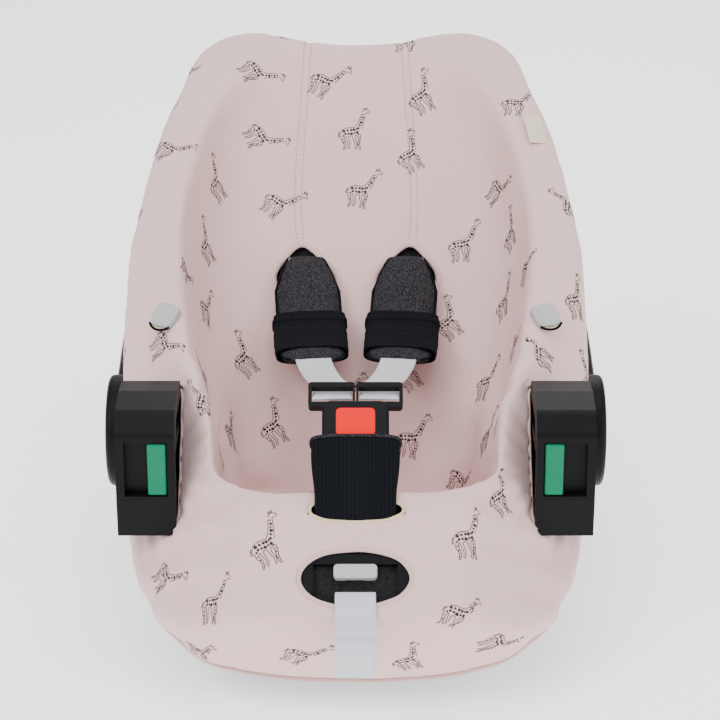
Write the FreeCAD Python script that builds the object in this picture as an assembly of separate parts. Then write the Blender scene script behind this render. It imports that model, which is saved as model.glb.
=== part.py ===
import FreeCAD, Part
import math
import os

from FreeCAD import Matrix, Vector

# An infant car seat: a deep moulded shell with a foam liner and a fitted fabric cover, a
# carrying handle on two locking hubs, belt guides on both sides, a harness with a crotch
# buckle, and a strap adjuster in the front apron.  Millimetres.  +Z is up, -Y is the foot
# end that faces whoever stands in front, +Y is the head end, and the origin is the middle
# of the flat face that the seat stands on.

# ---- driving dimensions -------------------------------------------------------------
TILT = 22.0              # slope of the rim plane, head end up
RIM_Z = 294.0            # height of the rim plane over the origin
HALF_WIDTH = 201.0       # half the seat's width over the cover, without the hubs
HEAD_REACH = 323.0       # rim plane: origin to the head lobes
FOOT_REACH = 390.0       # rim plane: origin to the foot end
APRON_TOP_Y = -278.0     # ridge between the basin and the sloping front apron
APRON_END_Y = -372.0     # where the apron's slope would meet the foot end
APRON_END_Z = 91.0
CORNER_PLANE = ((126.0, -215.0, 186.0), (178.0, -215.0, 100.0), (100.0, -285.0, 158.0))
COVER = 2.4              # cover cloth with its wadding
GAP = 0.5                # clearance between layers that only lie on each other
SHELL = 3.2              # wall of the outer shell
LINER = 24.0             # wall of the energy-absorbing foam liner
BASE = 12.0              # height of the base tray
BASE_LENGTH = 340.0
BASE_WIDTH = 240.0
BASE_MID_Y = -60.0
HEM_FRONT = (-262.0, 31.0)   # the cover's hem line, side view: (y, z) at the foot
HEM_BACK = (330.0, 268.0)    # and at the head end

PIVOT_Y = -12.0          # carrying handle's axis
PIVOT_Z = 128.0
HUB_R = 50.0
HUB_OUT = 221.0          # outer face of each hub, from the middle
HUB_IN = 191.5           # inner face of the handle's hub housing
HUB_SEAT = 178.0         # outer face of the shell's boss that carries the pivot base
HUB_WALL = 3.0
AXLE_R = 7.0
RUN = 0.05               # radial running clearance on the handle's axle
BOSS_R = 12.0
HANDLE_ANGLE = 12.0      # the handle's angle above the floor when it is pushed back
HANDLE_REACH = 442.0     # axle to the middle of the grip bar
HANDLE_HALF = 213.0      # half the span between the arms' middles at the hubs
HANDLE_DEPTH = 27.0      # the bar's section, across the handle's plane
HANDLE_THICK = 15.0      # the bar's section, in the handle's plane
HANDLE_WALL = 2.8
GRIP_SPAN = 130.0
BUTTON_R = 17.0
BUTTON_TRAVEL = 4.0

STRAP = 32.0             # harness webbing
STRAP_T = 1.8
SHOULDER_X = 47.0        # middle of each shoulder slot
SHOULDER_U = 96.0        # the slots' place along the rim plane
PAD_W = 62.0
PAD_T = 14.0
PAD_LEN = 142.0
BUCKLE_Y = -222.0        # middle of the buckle
BUCKLE_Z = 221.0
BUCKLE_LEAN = 50.0       # how far the crotch pad and the buckle lean back from upright
BUCKLE_W = 54.0
BUCKLE_H = 44.0
BUCKLE_T = 24.0
RED_W = 32.0
RED_H = 25.0
RED_TRAVEL = 2.5
CROTCH_W = 74.0
CROTCH_TOP = -15.0       # upper edge of the crotch pad, from the buckle's middle
CROTCH_SLIT_Y = -269.0   # where the crotch pad goes down into the front ridge
CROTCH_END_Z = 158.0
ANCHOR_Y = -232.0        # bar under the liner that the crotch strap is sewn around

ADJUSTER_Z = 137.0       # where the adjuster's middle lies on the apron
ADJUSTER_W = 84.0
ADJUSTER_H = 44.0
ADJUSTER_D = 24.0
KEY_W = 34.0
KEY_H = 13.0
KEY_TRAVEL = 3.0
TAIL_LEN = 118.0         # free tail of the adjuster strap in front

GUIDE_IN = 146.0         # belt guide, from the middle
GUIDE_OUT = 194.0
GUIDE_Y = (-234.0, -124.0)
GUIDE_Z = (130.0, 238.0)
GUIDE_GAP = 0.4
PEG_Y = -72.0            # canopy peg on each front corner
PEG_X = 172.0
PEG_SIDE = 24.0
PEG_T = 6.0
PEG_STEM = 4.0

COS, SIN = math.cos(math.radians(TILT)), math.sin(math.radians(TILT))
SIDES = (("left", -1), ("right", 1))
made = {}


# ---- helpers ------------------------------------------------------------------------
def seat_point(x, u, d):
    """A point given in the rim plane: u towards the head, d down into the seat."""
    return Vector(x, u * COS + d * SIN, RIM_Z + u * SIN - d * COS)


def rim_plane(y, z):
    """The (u, d) of a point of the side view."""
    return y * COS + (z - RIM_Z) * SIN, y * SIN - (z - RIM_Z) * COS


def box(x0, x1, y0, y1, z0, z1):
    return Part.makeBox(x1 - x0, y1 - y0, z1 - z0, Vector(x0, y0, z0))


def rod(radius, start, end):
    axis = end - start
    return Part.makeCylinder(radius, axis.Length, start, axis)


def turned(shape, axis, angle, about):
    shape = shape.copy()
    shape.rotate(about, axis, angle)
    return shape


def mirrored(shape):
    return shape.mirror(Vector(0, 0, 0), Vector(1, 0, 0))


def for_side(shape, sign):
    """A shape modelled on the right (+X), or its mirror image for the left."""
    return shape if sign > 0 else mirrored(shape)


def keep(name, shape):
    """Stores a node: the closed solids of a shape."""
    solids = [s for s in shape.Solids if s.Volume > 1.0]
    if not solids:
        raise ValueError(name + " has no solid")
    made[name] = solids[0] if len(solids) == 1 else Part.makeCompound(solids)


def offset_outline(points, distance):
    """A closed outline moved outwards by distance, in its own plane."""
    moved = []
    for i, (x, u) in enumerate(points):
        (xa, ua), (xb, ub) = points[i - 1], points[(i + 1) % len(points)]
        length = math.hypot(xb - xa, ub - ua)
        moved.append((x + (ua - ub) / length * distance, u + (xb - xa) / length * distance))
    return moved


def smooth(t):
    """0 to 1, level at both ends."""
    t = min(max(t, 0.0), 1.0)
    return t * t * (3 - 2 * t)


def whole(half):
    """A closed outline from its right half, head middle first, foot middle last."""
    return half + [(-x, u) for x, u in reversed(half[1:-1])]


def section_wire(half, outset, depth):
    flat = offset_outline(whole(half), outset)
    curve = Part.BSplineCurve()
    curve.interpolate([seat_point(x, u, depth) for x, u in flat], PeriodicFlag=True)
    return Part.Wire([curve.toShape()])


def rounded_box(x0, x1, y0, y1, z0, z1, radius):
    """A box with all its edges rounded."""
    b = box(x0, x1, y0, y1, z0, z1)
    return b.makeFillet(radius, b.Edges)


def ribbon(points, width, thickness, sideways):
    """A strap through the points, flat across the direction given as sideways."""
    wires = []
    for i, p in enumerate(points):
        a = points[max(i - 1, 0)]
        b = points[min(i + 1, len(points) - 1)]
        along = (b - a).normalize()
        across = (sideways - along * sideways.dot(along)).normalize()
        up = along.cross(across).normalize()
        corners = [
            p + across * (sx * width / 2) + up * (sy * thickness / 2)
            for sx, sy in ((-1, -1), (1, -1), (1, 1), (-1, 1))
        ]
        wires.append(Part.makePolygon(corners + corners[:1]))
    return Part.makeLoft(wires, True, True)


# ---- the seat's outer form and basin ------------------------------------------------
# Right half of the rim's outline as (share of the half width, share of the reach):
# shares of the reach run from 1 at the head lobes to 0 at POLE_U and -1 at the foot.
POLE_U = -80.0
HULL_OUTLINE = [
    (0.0, 0.963), (0.274, 0.978), (0.532, 1.0), (0.721, 0.941), (0.806, 0.814),
    (0.886, 0.650), (0.93, 0.506), (0.975, 0.273), (0.995, 0.055), (1.0, -0.226),
    (0.98, -0.5), (0.915, -0.71), (0.771, -0.871), (0.522, -0.968), (0.249, -0.997),
    (0.0, -1.0),
]
# depth under the rim plane: share of the half width, head reach, foot reach
HULL_LEVELS = [
    (0.0, 1.0, HEAD_REACH, FOOT_REACH),
    (45.0, 1.005, HEAD_REACH - 3, FOOT_REACH - 1),
    (90.0, 0.975, HEAD_REACH - 27, FOOT_REACH - 6),
    (135.0, 0.925, HEAD_REACH - 65, FOOT_REACH - 24),
    (180.0, 0.846, HEAD_REACH - 118, FOOT_REACH - 68),
    (230.0, 0.736, HEAD_REACH - 193, FOOT_REACH - 128),
    (280.0, 0.597, HEAD_REACH - 278, FOOT_REACH - 190),
    (325.0, 0.448, HEAD_REACH - 338, FOOT_REACH - 240),
]


def hull_half(share, head, foot, lobes=1.0):
    half = []
    for x, t in HULL_OUTLINE:
        if t > 0:
            flat = 1.0 - 0.12 * x ** 2.4 if x < 0.6 else t
            t = t * lobes + flat * (1 - lobes)
            u = POLE_U + t * (head - POLE_U)
        else:
            u = POLE_U + t * (POLE_U + foot)
        half.append((x * share * HALF_WIDTH, u))
    return half


def hull(inset, floor):
    """The seat's outer form, all its walls moved in by inset and cut flat at floor."""
    wires = []
    for depth, share, head, foot in HULL_LEVELS:
        lobes = max(0.0, 1.0 - depth / 150.0)
        depth = inset if depth == 0.0 else depth
        wires.append(section_wire(hull_half(share, head, foot, lobes), -inset, depth))
    body = Part.makeLoft(wires, True, False)
    return body.common(side_profile(inset, floor))


def side_profile(inset, floor):
    """The space under the rim and the apron, inset from their top faces."""
    ridge_z = RIM_Z + math.tan(math.radians(TILT)) * APRON_TOP_Y
    slope = (ridge_z - APRON_END_Z) / (APRON_TOP_Y - APRON_END_Y)
    drop = inset * math.hypot(1, slope)
    far = 2 * FOOT_REACH
    rim_drop = inset / COS
    corner_y = APRON_TOP_Y + (rim_drop - drop) / (slope - math.tan(math.radians(TILT))) * -1
    corner_z = RIM_Z + math.tan(math.radians(TILT)) * corner_y - rim_drop
    points = [
        Vector(-far, -far, corner_z - slope * (corner_y + far)),
        Vector(-far, corner_y, corner_z),
        Vector(-far, far, RIM_Z + math.tan(math.radians(TILT)) * far - rim_drop),
        Vector(-far, far, floor),
        Vector(-far, -far, floor),
    ]
    if points[0].z < floor:
        points[0] = Vector(-far, corner_y - (corner_z - floor) / slope, floor)
        points.pop()
    face = Part.Face(Part.makePolygon(points + points[:1]))
    profile = face.extrude(Vector(2 * far, 0, 0))
    for sx in (-1, 1):
        profile = profile.cut(for_side(front_corner(inset), sx))
    return profile


def front_corner(inset):
    """What the slanting plane beside the apron takes off the right front corner."""
    a, b, c = (Vector(p) for p in CORNER_PLANE)
    normal = (b - a).cross(c - a).normalize()
    if normal.x < 0:
        normal = normal * -1
    up = Vector(0, 0, 1) - normal * normal.z
    return oriented(box(-400, 400, 0, 400, -400, 400), a - normal * inset, up, normal)


BASIN_U = -139.0         # the basin's deepest place along the rim plane
BASIN_OUTLINE = [
    (0.0, 1.0), (0.33, 0.995), (0.62, 0.972), (0.84, 0.895), (0.955, 0.74), (0.995, 0.5),
    (1.0, 0.22), (1.0, -0.1), (1.0, -0.4), (0.985, -0.66), (0.9, -0.88), (0.66, -0.98),
    (0.33, -1.0), (0.0, -1.0),
]
# depth, half width at the shoulders, half width at the foot, head end, foot end, how far
# the outline narrows again towards the head
BASIN_LEVELS = [
    (0.0, 162.0, 120.0, 300.0, -284.0, 0.26),
    (50.0, 149.0, 114.0, 208.0, -285.0, 0.12),
    (94.0, 132.0, 109.0, 96.0, -284.0, 0.04),
    (125.0, 113.0, 104.0, 14.0, -238.0, 0.0),
    (150.0, 103.0, 100.0, -50.0, -200.0, 0.0),
    (184.0, 96.0, 94.0, -112.0, -160.0, 0.0),
]


def basin(outset):
    """The basin that the child lies in, its walls and floor moved out by outset."""
    out = 0.8 * outset
    wires = []
    for i, (depth, wide, slim, head, foot, narrow) in enumerate(BASIN_LEVELS):
        half = []
        for x, t in BASIN_OUTLINE:
            reach = head - BASIN_U if t > 0 else BASIN_U - foot
            width = slim + (wide - slim) * smooth(t + 0.45)
            half.append((x * width * (1 - narrow * max(t, 0.0) ** 2.5), BASIN_U + t * reach))
        if i == 0:
            wires.append(section_wire(half, out + 2.0, -6.0))
        wires.append(section_wire(half, out, depth + out))
    return Part.makeLoft(wires, True, False)


def backrest_depth(u):
    """Depth of the backrest's middle line at u, between the levels that bound it."""
    for (d0, _, _, h0, _, _), (d1, _, _, h1, _, _) in zip(BASIN_LEVELS, BASIN_LEVELS[1:]):
        if h1 <= u <= h0:
            return d0 + (h0 - u) / (h0 - h1) * (d1 - d0)
    return BASIN_LEVELS[-1][0]


def on_backrest(x, u, lift):
    """A point lifted off the backrest's middle line."""
    slope = math.atan2(backrest_depth(u - 5) - backrest_depth(u + 5), 10.0)
    return seat_point(x, u + lift * math.sin(slope) * -1, backrest_depth(u) - lift * math.cos(slope))


def plate(width, height, thickness, radius, centre, up, normal):
    """A flat plate with rounded corners and edges, its back face at centre."""
    radius = min(radius, width / 2 - 0.5, height / 2 - 0.5)
    b = Part.makeBox(width, thickness, height, Vector(-width / 2, 0, -height / 2))
    upright = [e for e in b.Edges if abs(e.tangentAt(e.FirstParameter).y) > 0.9]
    b = b.makeFillet(radius, upright)
    return oriented(b, centre, up, normal)


def oriented(shape, centre, up, normal):
    """Moves a shape modelled with +Y as its normal and +Z as its top."""
    z = Vector(up).normalize()
    y = Vector(normal).normalize()
    y = (y - z * y.dot(z)).normalize()
    x = y.cross(z)
    m = Matrix(x.x, y.x, z.x, centre.x, x.y, y.y, z.y, centre.y, x.z, y.z, z.z, centre.z, 0, 0, 0, 1)
    placed = shape.copy()
    placed.transformShape(m, True)
    return placed


# ---- shell, liner, cover ------------------------------------------------------------
def guide_envelope(room):
    """The space that a belt guide and its clearance take, on the right."""
    return box(
        GUIDE_IN - room, GUIDE_OUT + 40, GUIDE_Y[0] - 60, GUIDE_Y[1] + room,
        GUIDE_Z[0] - room, GUIDE_Z[1] + 60,
    )


def shoulder_axis():
    """Direction out of the backrest at the shoulder slots."""
    a = on_backrest(0, SHOULDER_U, 0)
    return (on_backrest(0, SHOULDER_U, 10) - a).normalize()


def shoulder_slot(x, width, height, depth):
    """A slot through whatever lies behind the backrest at a shoulder."""
    centre = on_backrest(x, SHOULDER_U, 12)
    out = shoulder_axis()
    up = Vector(1, 0, 0).cross(out)
    slot = Part.makeBox(width, depth, height, Vector(-width / 2, -depth, -height / 2))
    return oriented(slot, centre, up, out)


def adjuster_frame():
    """Middle of the adjuster on the apron, the apron's uphill direction and its normal."""
    ridge_z = RIM_Z + math.tan(math.radians(TILT)) * APRON_TOP_Y
    slope = (ridge_z - APRON_END_Z) / (APRON_TOP_Y - APRON_END_Y)
    y = APRON_TOP_Y - (ridge_z - ADJUSTER_Z) / slope
    up = Vector(0, 1, slope).normalize()
    normal = Vector(0, -slope, 1).normalize()
    return Vector(0, y, ADJUSTER_Z), up, normal


def in_adjuster(x0, x1, n0, n1, h0, h1, radius=0.0):
    """A box in the adjuster's own frame: n out of the apron, h up its slope."""
    centre, up, normal = adjuster_frame()
    b = box(x0, x1, n0, n1, h0, h1)
    if radius:
        upright = [e for e in b.Edges if abs(e.tangentAt(e.FirstParameter).y) > 0.9]
        b = b.makeFillet(radius, upright)
    return oriented(b, centre, up, normal)


LEAN = math.radians(BUCKLE_LEAN)
BUCKLE_UP = Vector(0, math.sin(LEAN), math.cos(LEAN))
BUCKLE_FACE = Vector(0, -math.cos(LEAN), math.sin(LEAN))
BUCKLE_MID = Vector(0, BUCKLE_Y, BUCKLE_Z)


def in_buckle(x0, x1, n0, n1, h0, h1, radius=0.0):
    """A box in the buckle's own frame: n towards its face, h towards the shoulders."""
    b = box(x0, x1, n0, n1, h0, h1)
    if radius:
        upright = [e for e in b.Edges if abs(e.tangentAt(e.FirstParameter).y) > 0.9]
        b = b.makeFillet(radius, upright)
    return oriented(b, BUCKLE_MID, BUCKLE_UP, BUCKLE_FACE)


def facet_point(x, y, lift):
    """A point lifted off the slanting plane of the right front corner."""
    a, b, c = (Vector(p) for p in CORNER_PLANE)
    normal = (b - a).cross(c - a).normalize()
    if normal.x < 0:
        normal = normal * -1
    z = a.z - (normal.x * (x - a.x) + normal.y * (y - a.y)) / normal.z
    return Vector(x, y, z) + normal * lift, normal


def curve_points(points, count):
    """Points spread evenly along a smooth curve through the given ones."""
    curve = Part.BSplineCurve()
    curve.interpolate([Vector(p) for p in points])
    return [Vector(p) for p in curve.toShape().discretize(count)]


def band(points, widths, thicknesses, sideways):
    """A padded strip through the points with its own width and thickness at each one."""
    wires = []
    for i, p in enumerate(points):
        along = (points[min(i + 1, len(points) - 1)] - points[max(i - 1, 0)]).normalize()
        across = (sideways - along * sideways.dot(along)).normalize()
        up = along.cross(across).normalize()
        w, t = widths[i] / 2, thicknesses[i] / 2
        c = min(w, t) * 0.55
        corners = [
            (-w, -t + c), (-w + c, -t), (w - c, -t), (w, -t + c),
            (w, t - c), (w - c, t), (-w + c, t), (-w, t - c),
        ]
        outline = [p + across * a + up * b for a, b in corners]
        wires.append(Part.makePolygon(outline + outline[:1]))
    return Part.makeLoft(wires, True, True)


HULL_OUTER_IN = COVER + GAP


def hub_axis_rod(radius, x0, x1):
    """A rod on the handle's axis, on the right."""
    return rod(radius, Vector(x0, PIVOT_Y, PIVOT_Z), Vector(x1, PIVOT_Y, PIVOT_Z))


def pocket_walls():
    """Closed pockets of the shell for the belt guides and the hubs, before their trim."""
    walls = []
    rooms = []
    for _, sx in SIDES:
        walls.append(for_side(guide_envelope(GUIDE_GAP + SHELL), sx))
        rooms.append(for_side(guide_envelope(GUIDE_GAP), sx))
        walls.append(for_side(hub_axis_rod(HUB_R + 6, HUB_SEAT - 18, HUB_OUT + 10), sx))
        rooms.append(for_side(hub_axis_rod(HUB_R + 3, HUB_SEAT, HUB_OUT + 11), sx))
    return walls, rooms


def build_seat_layers():
    skin_outer = hull(0.0, BASE)
    core = hull(COVER, BASE - 5).cut(basin(COVER))
    skin = skin_outer.cut(basin(0.0)).cut(core)
    (y0, z0), (y1, z1) = HEM_FRONT, HEM_BACK
    far = 600.0
    run = (z1 - z0) / (y1 - y0)
    below_hem = Part.Face(Part.makePolygon([
        Vector(-far, -far, z0 - run * (far + y0)), Vector(-far, far, z1 + run * (far - y1)),
        Vector(-far, far, -far), Vector(-far, -far, -far), Vector(-far, -far, z0 - run * (far + y0)),
    ])).extrude(Vector(2 * far, 0, 0))
    skin = skin.cut(below_hem.cut(basin(COVER + 4.0)))

    outer = hull(HULL_OUTER_IN, BASE + GAP)
    shell = outer.cut(hull(HULL_OUTER_IN + SHELL, BASE + GAP + SHELL))
    liner = hull(HULL_OUTER_IN + SHELL + GAP, BASE + GAP + SHELL + GAP)
    liner = liner.common(basin(COVER + GAP + LINER)).cut(basin(COVER + GAP))
    shell = shell.cut(basin(COVER + GAP + LINER - 6.0))
    walls, rooms = pocket_walls()
    pockets = outer.common(Part.makeCompound(walls)).cut(basin(COVER + GAP))
    discs = [for_side(hub_axis_rod(HUB_R - 3, HUB_SEAT - 17.4, HUB_SEAT + 2), sx) for _, sx in SIDES]
    shell = shell.fuse([pockets] + discs)
    for room in rooms:
        shell = shell.cut(room)
    for _, sx in SIDES:
        liner = liner.cut(for_side(guide_envelope(GUIDE_GAP + SHELL + GAP), sx))
        liner = liner.cut(for_side(hub_axis_rod(HUB_R + 8, HUB_SEAT - 22, HUB_OUT), sx))
        skin = skin.cut(for_side(guide_envelope(GUIDE_GAP + 1.0), sx))
        skin = skin.cut(for_side(hub_axis_rod(HUB_R + 4, 120, 260), sx))
        skin = skin.cut(shoulder_slot(sx * SHOULDER_X, PAD_W + 4, 66.0, 60.0))
        liner = liner.cut(shoulder_slot(sx * SHOULDER_X, STRAP + 8, 18.0, 60.0))
        foot, normal = facet_point(PEG_X, PEG_Y, 0)
        stem_hole = for_side(rod(PEG_STEM + 0.4, foot - normal * 30, foot + normal * 10), sx)
        skin = skin.cut(stem_hole)
        shell = shell.cut(stem_hole)
        liner = liner.cut(stem_hole)
        bolt = rod(AXLE_R + 0.3, Vector(sx * 140, PIVOT_Y, PIVOT_Z), Vector(sx * 200, PIVOT_Y, PIVOT_Z))
        shell = shell.cut(bolt)
        for y, z in hub_screw_places():
            shell = shell.cut(rod(2.1, Vector(sx * (HUB_SEAT - 14), y, z), Vector(sx * 190, y, z)))
        for y, z in GUIDE_SCREWS:
            liner = liner.cut(rod(6.0, Vector(sx * (GUIDE_IN - 14), y, z), Vector(sx * 150, y, z)))
            shell = shell.cut(rod(2.3, Vector(sx * (GUIDE_IN - 8), y, z), Vector(sx * (GUIDE_IN + 4), y, z)))
    half = CROTCH_W / 2 + 3
    slit = box(-half, half, CROTCH_SLIT_Y - 17, CROTCH_SLIT_Y + 17, CROTCH_END_Z - 8, 230)
    skin = skin.cut(slit)
    liner = liner.cut(slit)
    shell = shell.cut(slit)
    liner = liner.cut(box(-STRAP / 2 - 4, STRAP / 2 + 4, CROTCH_SLIT_Y - 6, CROTCH_SLIT_Y + 6, 60, 200))
    flange = in_adjuster(
        -ADJUSTER_W / 2 - 1, ADJUSTER_W / 2 + 1, -ADJUSTER_D - 20, 20,
        -ADJUSTER_H / 2 - 1, ADJUSTER_H / 2 + 1)
    skin = skin.cut(flange)
    liner = liner.cut(flange)
    shell = shell.cut(in_adjuster(
        -ADJUSTER_W / 2 + 4.6, ADJUSTER_W / 2 - 4.6, -ADJUSTER_D - 20, 20,
        -ADJUSTER_H / 2 + 4.6, ADJUSTER_H / 2 - 4.6))
    for x, y in BASE_SCREWS:
        boss = rod(6.0, Vector(x, y, BASE + GAP), Vector(x, y, BASE + GAP + 15))
        shell = shell.fuse(boss).cut(rod(2.3, Vector(x, y, 0), Vector(x, y, BASE + GAP + 13)))
    keep("fabric_cover", skin)
    keep("outer_shell", shell)
    keep("foam_liner", liner)


def hub_screw_places():
    return [
        (PIVOT_Y + 36 * math.cos(a), PIVOT_Z + 36 * math.sin(a))
        for a in (math.radians(90), math.radians(210), math.radians(330))
    ]


GUIDE_SCREWS = ((-176.0, 150.0), (-176.0, 172.0))
BASE_SCREWS = [(x, BASE_MID_Y + y) for x in (-86.0, 86.0) for y in (-128.0, 128.0)]
build_seat_layers()


# ---- base tray ----------------------------------------------------------------------
def upright_edges(shape):
    return [e for e in shape.Edges if abs(e.tangentAt(e.FirstParameter).z) > 0.9]


def build_base():
    y0, y1 = BASE_MID_Y - BASE_LENGTH / 2, BASE_MID_Y + BASE_LENGTH / 2
    tray = box(-BASE_WIDTH / 2, BASE_WIDTH / 2, y0, y1, 0, BASE)
    tray = tray.makeFillet(40.0, upright_edges(tray))
    pads = []
    bars = []
    screws = []
    for _, sx in SIDES:
        for sy in (-1, 1):
            x, y = sx * (BASE_WIDTH / 2 - 22), BASE_MID_Y + sy * BASE_LENGTH * 0.2
            tray = tray.cut(box(x - 12, x + 12, y - 25, y + 25, -1, 3))
            pads.append(box(x - 11.7, x + 11.7, y - 24.7, y + 24.7, 0, 2.8))
    for x, y in BASE_SCREWS:
        tray = tray.cut(rod(4.4, Vector(x, y, -1), Vector(x, y, 5)))
        tray = tray.cut(rod(2.3, Vector(x, y, 0), Vector(x, y, BASE + 1)))
        head = rod(4.0, Vector(x, y, 2.0), Vector(x, y, 4.8))
        screws.append(head.fuse(rod(2.0, Vector(x, y, 4.8), Vector(x, y, BASE + GAP + 12))))
    for sy in (-1, 1):
        y = BASE_MID_Y + sy * BASE_LENGTH * 0.31
        tray = tray.cut(box(-50, 50, y - 15, y + 15, -1, BASE + 1))
        tray = tray.cut(rod(4.1, Vector(-59, y, BASE / 2), Vector(59, y, BASE / 2)))
        bars.append(rod(4.0, Vector(-58, y, BASE / 2), Vector(58, y, BASE / 2)))
    keep("base_tray", tray)
    keep("anti_slip_pads", Part.makeCompound(pads))
    keep("docking_bar_front", bars[0])
    keep("docking_bar_rear", bars[1])
    keep("base_screws", Part.makeCompound(screws))


# ---- belt guides, canopy pegs, label ------------------------------------------------
GUIDE_PROFILE = [
    (0.02, 0.0), (0.0, 0.3), (0.03, 0.82), (0.16, 0.96), (0.46, 1.0), (0.76, 0.96),
    (0.96, 0.74), (1.0, 0.3), (0.97, 0.0),
]


def in_guide(share_y, share_z):
    return (
        GUIDE_Y[0] + share_y * (GUIDE_Y[1] - GUIDE_Y[0]),
        GUIDE_Z[0] + share_z * (GUIDE_Z[1] - GUIDE_Z[0]),
    )


def build_guides():
    points = [Vector(GUIDE_IN, *in_guide(a, b)) for a, b in GUIDE_PROFILE]
    body = Part.Face(Part.makePolygon(points + points[:1])).extrude(Vector(GUIDE_OUT - GUIDE_IN, 0, 0))
    along = [e for e in body.Edges if abs(e.tangentAt(e.FirstParameter).x) > 0.9]
    body = body.makeFillet(8.0, along[1:-1])
    (sy0, sz0), (sy1, sz1) = in_guide(0.27, 0.69), in_guide(0.78, 0.84)
    belt_slot = box(GUIDE_IN - 5, GUIDE_OUT + 5, sy0, sy1, sz0, sz1)
    slot_edges = [e for e in belt_slot.Edges if abs(e.tangentAt(e.FirstParameter).x) > 0.9]
    body = body.cut(belt_slot.makeFillet(4.0, slot_edges))
    front = GUIDE_Y[0] + 9.0
    z0, z1 = GUIDE_Z[0] + 36, GUIDE_Z[0] + 82
    panel = box(GUIDE_IN + 6, GUIDE_OUT - 7, GUIDE_Y[0] - 9, front, z0, z1)
    body = body.cut(panel)
    hollow = box(
        GUIDE_IN - 1, GUIDE_OUT - 22, front + 4.5, GUIDE_Y[1] - 5, GUIDE_Z[0] + 5, sz0 - 6)
    body = body.cut(hollow)
    for y, z in GUIDE_SCREWS:
        body = body.fuse(rod(7.0, Vector(GUIDE_IN, y, z), Vector(GUIDE_OUT - 21, y, z)))
    marker = rounded_box(GUIDE_IN + 7, GUIDE_IN + 22, GUIDE_Y[0] + 0.5, front - 0.3, z0 + 1, z1 - 1, 1.5)
    for side, sx in SIDES:
        guide = for_side(body, sx)
        screws = []
        for y, z in GUIDE_SCREWS:
            guide = guide.cut(rod(2.1, Vector(sx * (GUIDE_IN - 1), y, z), Vector(sx * (GUIDE_IN + 16), y, z)))
            inner = GUIDE_IN - GUIDE_GAP - SHELL
            head = rod(4.0, Vector(sx * (inner - 3), y, z), Vector(sx * (inner - 0.2), y, z))
            shank = rod(1.95, Vector(sx * (inner - 1), y, z), Vector(sx * (GUIDE_IN + 15), y, z))
            screws.append(head.fuse(shank))
        keep("belt_guide_" + side, guide)
        keep("belt_marker_" + side, for_side(marker, sx))
        keep("guide_screws_" + side, Part.makeCompound(screws))


def build_pegs_and_label():
    foot, normal = facet_point(PEG_X, PEG_Y, 0)
    up = Vector(0, 0, 1) - normal * normal.z
    cap = plate(PEG_SIDE, PEG_SIDE, PEG_T, 6.0, foot + normal * 1.2, up, normal)
    stem = rod(PEG_STEM, foot - normal * 16, foot + normal * 3)
    peg = cap.fuse(stem)
    for side, sx in SIDES:
        keep("canopy_peg_" + side, for_side(peg, sx))
    top = Vector(0, -SIN, COS)
    tag = plate(20.0, 34.0, 1.0, 1.5, seat_point(164, 172, -0.4), Vector(0, COS, SIN), top)
    keep("cover_label", tag)


# ---- handle -------------------------------------------------------------------------
HANDLE_TILT = math.radians(HANDLE_ANGLE)
HANDLE_N = Vector(0, -math.sin(HANDLE_TILT), math.cos(HANDLE_TILT))
HANDLE_PATH = [
    (213.0, 0.098), (213.0, 0.26), (212.0, 0.38), (208.5, 0.49), (202.0, 0.59), (192.0, 0.69),
    (177.0, 0.795), (154.0, 0.905), (120.0, 0.972), (70.0, 0.997), (0.0, 1.0),
]


def in_handle(x, reach, lift=0.0):
    """A point of the handle's plane: x across, reach from the axle, lift out of the plane."""
    c, s = math.cos(HANDLE_TILT), math.sin(HANDLE_TILT)
    return Vector(x, PIVOT_Y + reach * c - lift * s, PIVOT_Z + reach * s + lift * c)


def handle_bar(shrink):
    half = [in_handle(x * HANDLE_HALF / 213.0, r * HANDLE_REACH) for x, r in HANDLE_PATH]
    mids = curve_points(half + [Vector(-p.x, p.y, p.z) for p in reversed(half[:-1])], 43)
    a, b = HANDLE_THICK / 2 - shrink, HANDLE_DEPTH / 2 - shrink
    wires = []
    for i, p in enumerate(mids):
        along = (mids[min(i + 1, len(mids) - 1)] - mids[max(i - 1, 0)]).normalize()
        across = along.cross(HANDLE_N).normalize()
        ring = []
        for k in range(16):
            t = math.radians(22.5 * k)
            ca, sa = math.cos(t), math.sin(t)
            ring.append(
                p + across * (a * math.copysign(abs(ca) ** 0.7, ca))
                + HANDLE_N * (b * math.copysign(abs(sa) ** 0.7, sa)))
        curve = Part.BSplineCurve()
        curve.interpolate(ring, PeriodicFlag=True)
        wires.append(Part.Wire([curve.toShape()]))
    return Part.makeLoft(wires, True, False)


def handle_half(sign):
    """The space on one side of the handle's parting plane."""
    pad = box(-300, 300, -600, 600, 0.05, 60) if sign > 0 else box(-300, 300, -600, 600, -60, -0.05)
    pad.translate(Vector(0, PIVOT_Y, PIVOT_Z))
    return turned(pad, Vector(1, 0, 0), HANDLE_ANGLE, Vector(0, PIVOT_Y, PIVOT_Z))


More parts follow.
